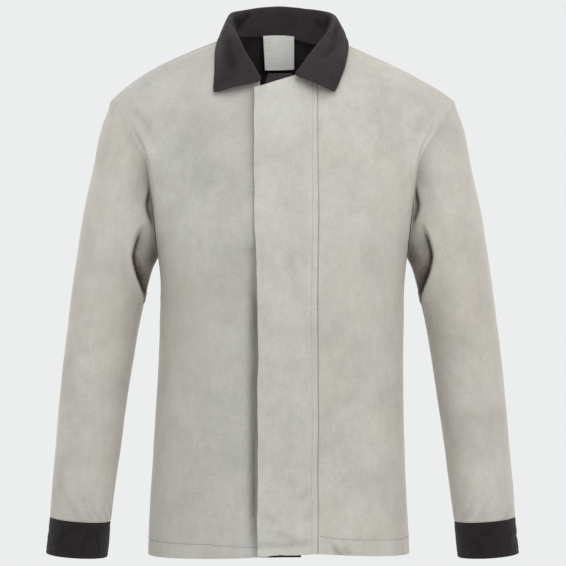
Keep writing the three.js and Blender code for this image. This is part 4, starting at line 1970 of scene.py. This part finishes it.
        # Shade painted into the armpit folds, the armhole valley and the gathers above the cuff.
        soil = lobes * (1.0 - 0.2 * crumple) + self.valley_soil * valley + self.gather_soil * gathers
        cloth.soil = np.clip(soil, 0.0, 1.0)
        obj = sheet_object(f"{side.label}_sleeve_leather", cloth)
        thickened(obj, self.leather)
        wardrobe.sheet(obj, f"sleeve_{side.label}", "sleeve_leather")

    def cuff(self, side: Side, wardrobe: Wardrobe, thread: Stitching) -> None:
        """Make a cuff.

        Args:
            side: side of the wearer.
            wardrobe: the finishes.
            thread: the stitches that its edges add to.
        """
        degrees = self.angles()
        top = self.ring(side, self.sections[-1], degrees)
        end = self.ring(side, self.cuff_end, degrees)
        shares = blend(0.008, 1.0, spread(22, 54.0))
        points = blend(top[None], end[None], shares[:, None, None])
        plain = Cloth(points, flipped=side is Side.RIGHT, ring=True)
        middle = np.sin(np.pi * np.clip(shares, 0.0, 1.0))[:, None]
        slant = points @ np.array([[1.0, 0.0, 0.6], [0.0, 1.0, 0.0], [-0.6, 0.0, 0.45]])
        creases = middle * pleats(waves(slant, 22.0, 2.6), half=0.16)
        out = middle * (0.3 + 0.8 * waves(points, 26.0, 4.9 + side.value)) - 1.4 * creases
        rows = (
            Seam(Edge.FIRST_ROW, 4.0, groove=0.4, pucker=0.3, pitch=11.0, reach=5.0),
            Seam(Edge.LAST_ROW, 4.0, groove=0.4, pucker=0.2, pitch=11.0, reach=5.0),
        )
        cloth = plain.moved(out).sewn(rows, 3.3)
        cloth = cloth.rolled((Edge.FIRST_ROW, Edge.LAST_ROW), depth=0.8)
        # Shade painted into the cuff's creases.
        cloth.soil = 0.7 * creases
        obj = sheet_object(f"{side.label}_cuff_cotton", cloth)
        thickened(obj, self.doubled)
        wardrobe.sheet(obj, f"cuff_{side.label}", "cuff_cotton")
        for row in rows:
            thread.row(cloth.path(row))


@dataclass
class Collar:
    """The turned-down cotton collar, open at the throat."""

    doubled: float = 2.4
    columns: int = 150
    rows: int = 64
    roll_radius: float = 4.5
    lift: float = 0.15
    topstitch: float = 6.0
    corner_radius: float = 9.0
    around: float = 470.0
    height: float = 95.0
    ripples: tuple[Ripple, ...] = (Ripple(1.7, 50.0, 1.3), Ripple(0.5, 19.0, 6.6))
    stand_ripples: tuple[Ripple, ...] = (Ripple(1.4, 17.0, 9.4),)
    leaf_folds: tuple[Fold, ...] = (
        Fold("right leaf hollow", ((-80, -8), (-75, -38), (-66, -70)), 9, 4.5, 0.9),
        Fold("right leaf ridge", ((-86, -20), (-85, -54)), 7, -2, -0.25),
        Fold("right point crease", ((-88, -78), (-72, -80)), 5, 1.5, 0.3),
        Fold("left leaf hollow", ((80, 6), (76, -12), (64, -40)), 5, 2.5, 0.55),
        Fold("left leaf ridge", ((84, 0), (80, -22)), 4, -1.5, -0.2),
        Fold("left point crease", ((66, -74), (74, -86)), 6, 1.5, 0.2),
        Fold("left leaf drag", ((84, -22), (68, -36), (51, -49)), 4, 1.8, 0.4),
        Fold("left roll crease", ((79, 6), (73, -7)), 3, 2, 0.6),
    )
    stand_folds: tuple[Fold, ...] = (
        Fold("right corner", ((-68, 24), (-60, 2)), 6, 3, 0.7),
        Fold("right back", ((-46, 34), (-56, 21), (-65, 8)), 3.6, 2.8, 1.0),
        Fold("middle", ((10, 40), (14, 12)), 7, 1.2, 0.15),
        Fold("left back", ((43, 33), (51, 20), (58, 6)), 3.6, 2.8, 1.0),
        Fold("left corner", ((67, 29), (61, 3)), 4, 3, 1.0),
    )
    stations: tuple[CollarStation, ...] = (
        CollarStation("right end", (-30.5, -88, -78.5), (-99.4, -73, -95.3), 3),
        CollarStation("right front", (-59, -53, -25), (-98.5, -53.5, -69), 2),
        CollarStation("right side", (-76, 8, 21), (-92, 11, -9), 1),
        CollarStation("right back", (-55, 53, 35), (-63, 69, -8), 2),
        CollarStation("nape", (0, 70, 42), (0, 83, -9), 2),
        CollarStation("left back", (56, 53, 34), (62, 67, -14), 2),
        CollarStation("left side", (76, 6, 18), (94, 11, -13), 1),
        CollarStation("left front", (51, -54, -26), (91.5, -43, -52), 2),
        CollarStation("left end", (18, -92, -70), (75.3, -70.5, -95.8), 3),
    )

    def grid(self, trunk: Trunk) -> Array:
        """Points of the collar: up the stand, over the roll line and down the fall.

        Args:
            trunk: the trunk whose neck seam carries it.

        Returns:
            The points, as (rows, columns, 3).
        """
        u = spread(self.columns, self.around)
        right = trunk.neck(Side.RIGHT, np.clip(1.0 - 2.0 * u, 0.0, 1.0))
        left = trunk.neck(Side.LEFT, np.clip(2.0 * u - 1.0, 0.0, 1.0))
        neck = np.where((u < 0.5)[:, None], right, left) + (0.0, 0.0, self.lift)
        roll = spline(np.array([s.roll for s in self.stations], dtype=float), u)
        edge = spline(np.array([s.edge for s in self.stations], dtype=float), u)
        places = tuple(float(i) for i in range(len(self.stations)))
        bulge = Profile(places, tuple(s.bulge for s in self.stations))(u * (len(places) - 1))
        out = roll * (1.0, 1.0, 0.0) - (0.0, trunk.neck_seam[2].right[1], 0.0)
        out /= np.linalg.norm(out, axis=1, keepdims=True)
        inside = roll - out * self.roll_radius / 2.0
        outside = roll + out * self.roll_radius - (0.0, 0.0, self.roll_radius / 2.0)
        fall = blend(outside, edge, 0.5) + out * bulge[:, None]
        top = roll + out * self.roll_radius / 3.0 + (0.0, 0.0, self.roll_radius / 3.0)
        stand = blend(neck, inside, 0.5)
        knots = np.stack([neck, stand, inside, top, outside, fall, edge], axis=1)
        return spline(knots, self.row_shares()).transpose(1, 0, 2)

    def row_shares(self) -> Array:
        """Shares of the rows: 0 at the neck seam, a half near the roll line and 1 at the outer edge."""
        return spread(self.rows, self.height, first=False)

    def make(self, trunk: Trunk, wardrobe: Wardrobe, thread: Stitching) -> None:
        """Make the collar.

        Args:
            trunk: the trunk whose neck seam carries it.
            wardrobe: the finishes.
            thread: the stitches that its edge adds to.
        """
        plain = Cloth(self.grid(trunk))
        edge = plain.reach(Edge.FIRST_ROW)
        along_row, _ = plain.runs()
        x, y, z = (plain.points[..., axis] for axis in range(3))
        stand = smooth(edge / 8.0) * smooth((40.0 - edge) / 14.0) * smooth((y - 4.0) / 22.0)
        fall = smooth((self.row_shares()[:, None] - 0.62) / 0.1) * smooth(-y / 20.0)
        upright = np.stack([along_row, 0.15 * edge, 0.0 * edge], axis=-1)
        out = smooth(edge / 16.0) * rippled(plain.points, self.ripples)
        out += stand * (rippled(upright, self.stand_ripples) - fold_depth(self.stand_folds, x, z))
        out -= fall * fold_depth(self.leaf_folds, x, z)
        free = (Edge.LAST_ROW, Edge.FIRST_COLUMN, Edge.LAST_COLUMN)
        rows = tuple(
            Seam(border, self.topstitch, groove=0.7, pucker=0.4, pitch=12.0, reach=6.0) for border in free
        )
        cloth = plain.moved(out).sewn(rows, 5.5).rolled(free, depth=0.8)
        corners = ((Edge.FIRST_COLUMN, Edge.LAST_ROW), (Edge.LAST_COLUMN, Edge.LAST_ROW))
        cloth = cloth.rounded(corners, self.corner_radius)
        # Shade painted into the stand's and the leaves' folds, less on their ridges, and over the fall:
        # heavier on the right leaf, which gets less light, and patchy.
        uneven = 0.1 - 0.14 * np.sign(x) + 0.3 * waves(plain.points, 30.0, 7.4)
        dust = stand * fold_soil(self.stand_folds, x, z) + fall * (fold_soil(self.leaf_folds, x, z) + uneven)
        cloth.soil = np.clip(dust, 0.0, 1.0)
        obj = sheet_object("collar_cotton", cloth)
        thickened(obj, self.doubled)
        wardrobe.sheet(obj, "collar", "dark_cotton")
        for row in rows:
            thread.row(cloth.path(row))


@dataclass
class NeckLabel:
    """The bare label that hangs inside the back from the neck seam."""

    wall: float = 1.0
    left: float = -28.8
    right: float = 17.2
    top: float = 0.3
    bottom: float = -50.8
    depth: float = 67.0
    curve: float = 0.0105
    lean: float = 5.0
    taper: float = 2.6
    tilt: float = 0.8
    arch: float = 1.8
    columns: int = 34
    rows: int = 38

    def make(self, wardrobe: Wardrobe) -> None:
        """Make the label.

        Args:
            wardrobe: the finishes.
        """
        u = np.linspace(self.left, self.right, self.columns)[None, :]
        v = np.linspace(0.0, 1.0, self.rows)[:, None]
        middle = (2.0 * u - self.left - self.right) / (self.right - self.left)
        x = u + self.taper * (1.0 - v) * (1.0 - middle) / 2.0
        z = blend(self.bottom + self.tilt * middle, self.top - self.arch * middle**2, v)
        y = self.depth - self.curve * x * x + self.lean * (1.0 - v)
        plain = Cloth(np.stack([x, y, z], axis=-1), flipped=True)
        obj = sheet_object("neck_label_tape", plain)
        thickened(obj, self.wall)
        wardrobe.sheet(obj, "neck_label", "label_tape")


@dataclass
class Studio:
    """Plain pale floor, soft light all round and a camera at the photograph's angle."""

    distance: float = 3.2
    height: float = -0.366
    side: float = 0.0007
    lens: float = 140.4
    floor: float = -1.3
    floor_radius: float = 1.6
    floor_tones: tuple[Colour, Colour] = (linear(217, 218, 217), linear(225, 226, 225))
    floor_roughness: float = 0.9
    backdrop: Colour = linear(236, 238, 238)
    ambient: float = 0.745
    aim: tuple[float, float, float] = (0.0, 0.0, -0.35)
    lamps: tuple[Lamp, ...] = (
        Lamp("key_light", (1.6, -3.0, 1.2), 2.0, 37.0),
        Lamp("fill_light", (-2.2, -2.7, 1.3), 1.2, 9.0),
        Lamp("top_light", (0.2, -1.9, 2.7), 1.8, 38.0, 0.12),
        Lamp("side_light", (-3.0, -0.4, 0.5), 2.0, 6.0),
        Lamp("back_light", (-0.8, 3.0, 1.2), 2.4, 24.0),
    )

    def camera(self) -> None:
        """Add the camera, level and straight in front."""
        bpy.ops.object.camera_add(
            location=(self.side, -self.distance, self.height), rotation=(math.pi / 2.0, 0.0, 0.0)
        )
        camera = bpy.context.object
        camera.name = "photo_camera"
        camera.data.lens = self.lens
        camera.data.sensor_width = 36.0
        camera.data.clip_end = 50.0
        bpy.context.scene.camera = camera

    def light(self, lamp: Lamp) -> None:
        """Add a light that points at the chest.

        Args:
            lamp: the light.
        """
        turn = (Vector(self.aim) - Vector(lamp.place)).to_track_quat("-Z", "Y").to_euler()
        bpy.ops.object.light_add(type="AREA", location=lamp.place, rotation=turn)
        light = bpy.context.object
        light.name = lamp.name
        light.data.size = lamp.size
        light.data.energy = lamp.power
        light.data.color = (1.0 - lamp.cool, 1.0 - lamp.cool / 2.0, 1.0)

    def world(self) -> None:
        """Pale surroundings: one brightness for the camera and another for the light."""
        world = bpy.data.worlds.new("studio_surroundings")
        bpy.context.scene.world = world
        world.use_nodes = True
        tree = world.node_tree
        tree.nodes.clear()
        path = tree.nodes.new("ShaderNodeLightPath")
        seen = tree.nodes.new("ShaderNodeBackground")
        seen.inputs["Color"].default_value = self.backdrop
        cast = tree.nodes.new("ShaderNodeBackground")
        cast.inputs["Color"].default_value = (1.0, 1.0, 1.0, 1.0)
        cast.inputs["Strength"].default_value = self.ambient
        mix = tree.nodes.new("ShaderNodeMixShader")
        tree.links.new(path.outputs["Is Camera Ray"], mix.inputs["Fac"])
        tree.links.new(cast.outputs["Background"], mix.inputs[1])
        tree.links.new(seen.outputs["Background"], mix.inputs[2])
        out = tree.nodes.new("ShaderNodeOutputWorld")
        tree.links.new(mix.outputs["Shader"], out.inputs["Surface"])

    def ground(self) -> None:
        """Add the floor, a wide pale disc below the jacket."""
        bpy.ops.object.select_all(action="DESELECT")
        bpy.ops.mesh.primitive_circle_add(
            vertices=96, radius=self.floor_radius, fill_type="NGON", location=(0.0, 0.0, self.floor)
        )
        floor = bpy.context.object
        floor.name = "studio_floor"
        bpy.ops.object.transform_apply(location=True)
        nodes = Shader("studio_floor")
        speckle = nodes.noise(nodes.place(), 6.0, 3.0)
        tone = nodes.ramp(speckle, tuple(zip((0.0, 1.0), self.floor_tones)))
        floor.data.materials.append(nodes.finished(Base_Color=tone, Roughness=self.floor_roughness))

    def make(self) -> None:
        """Set up the camera, the light and the floor."""
        self.camera()
        self.world()
        for lamp in self.lamps:
            self.light(lamp)
        self.ground()
        bpy.context.scene.view_settings.view_transform = "Standard"


def main() -> None:
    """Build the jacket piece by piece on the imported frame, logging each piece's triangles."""
    logging.basicConfig(level=logging.INFO, format="%(message)s")
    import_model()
    Studio().make()
    wardrobe = Wardrobe.stocked()
    grey = Stitching("hem_stitches", "grey_thread", Slot.LEATHER, length=3.2, gap=0.6)
    pale = Stitching("flap_stitches", "pale_thread", Slot.LEATHER, length=2.0, gap=0.9, width=0.65)
    dark = Stitching("cotton_stitches", "dark_thread", Slot.COTTON, length=2.6, gap=0.9, width=0.65)
    trunk = Trunk()
    for side in Side:
        trunk.front(side, wardrobe, grey)
    trunk.back(wardrobe, dark)
    closing = FrontClosing()
    closing.flap(trunk, wardrobe, pale)
    closing.strip(trunk, wardrobe)
    sleeves = Sleeves()
    for side in Side:
        sleeves.sleeve(side, trunk, wardrobe)
        sleeves.cuff(side, wardrobe, dark)
    Collar().make(trunk, wardrobe, dark)
    NeckLabel().make(wardrobe)
    for thread in (grey, pale, dark):
        thread.finished(wardrobe)


if __name__ == "__main__":
    main()
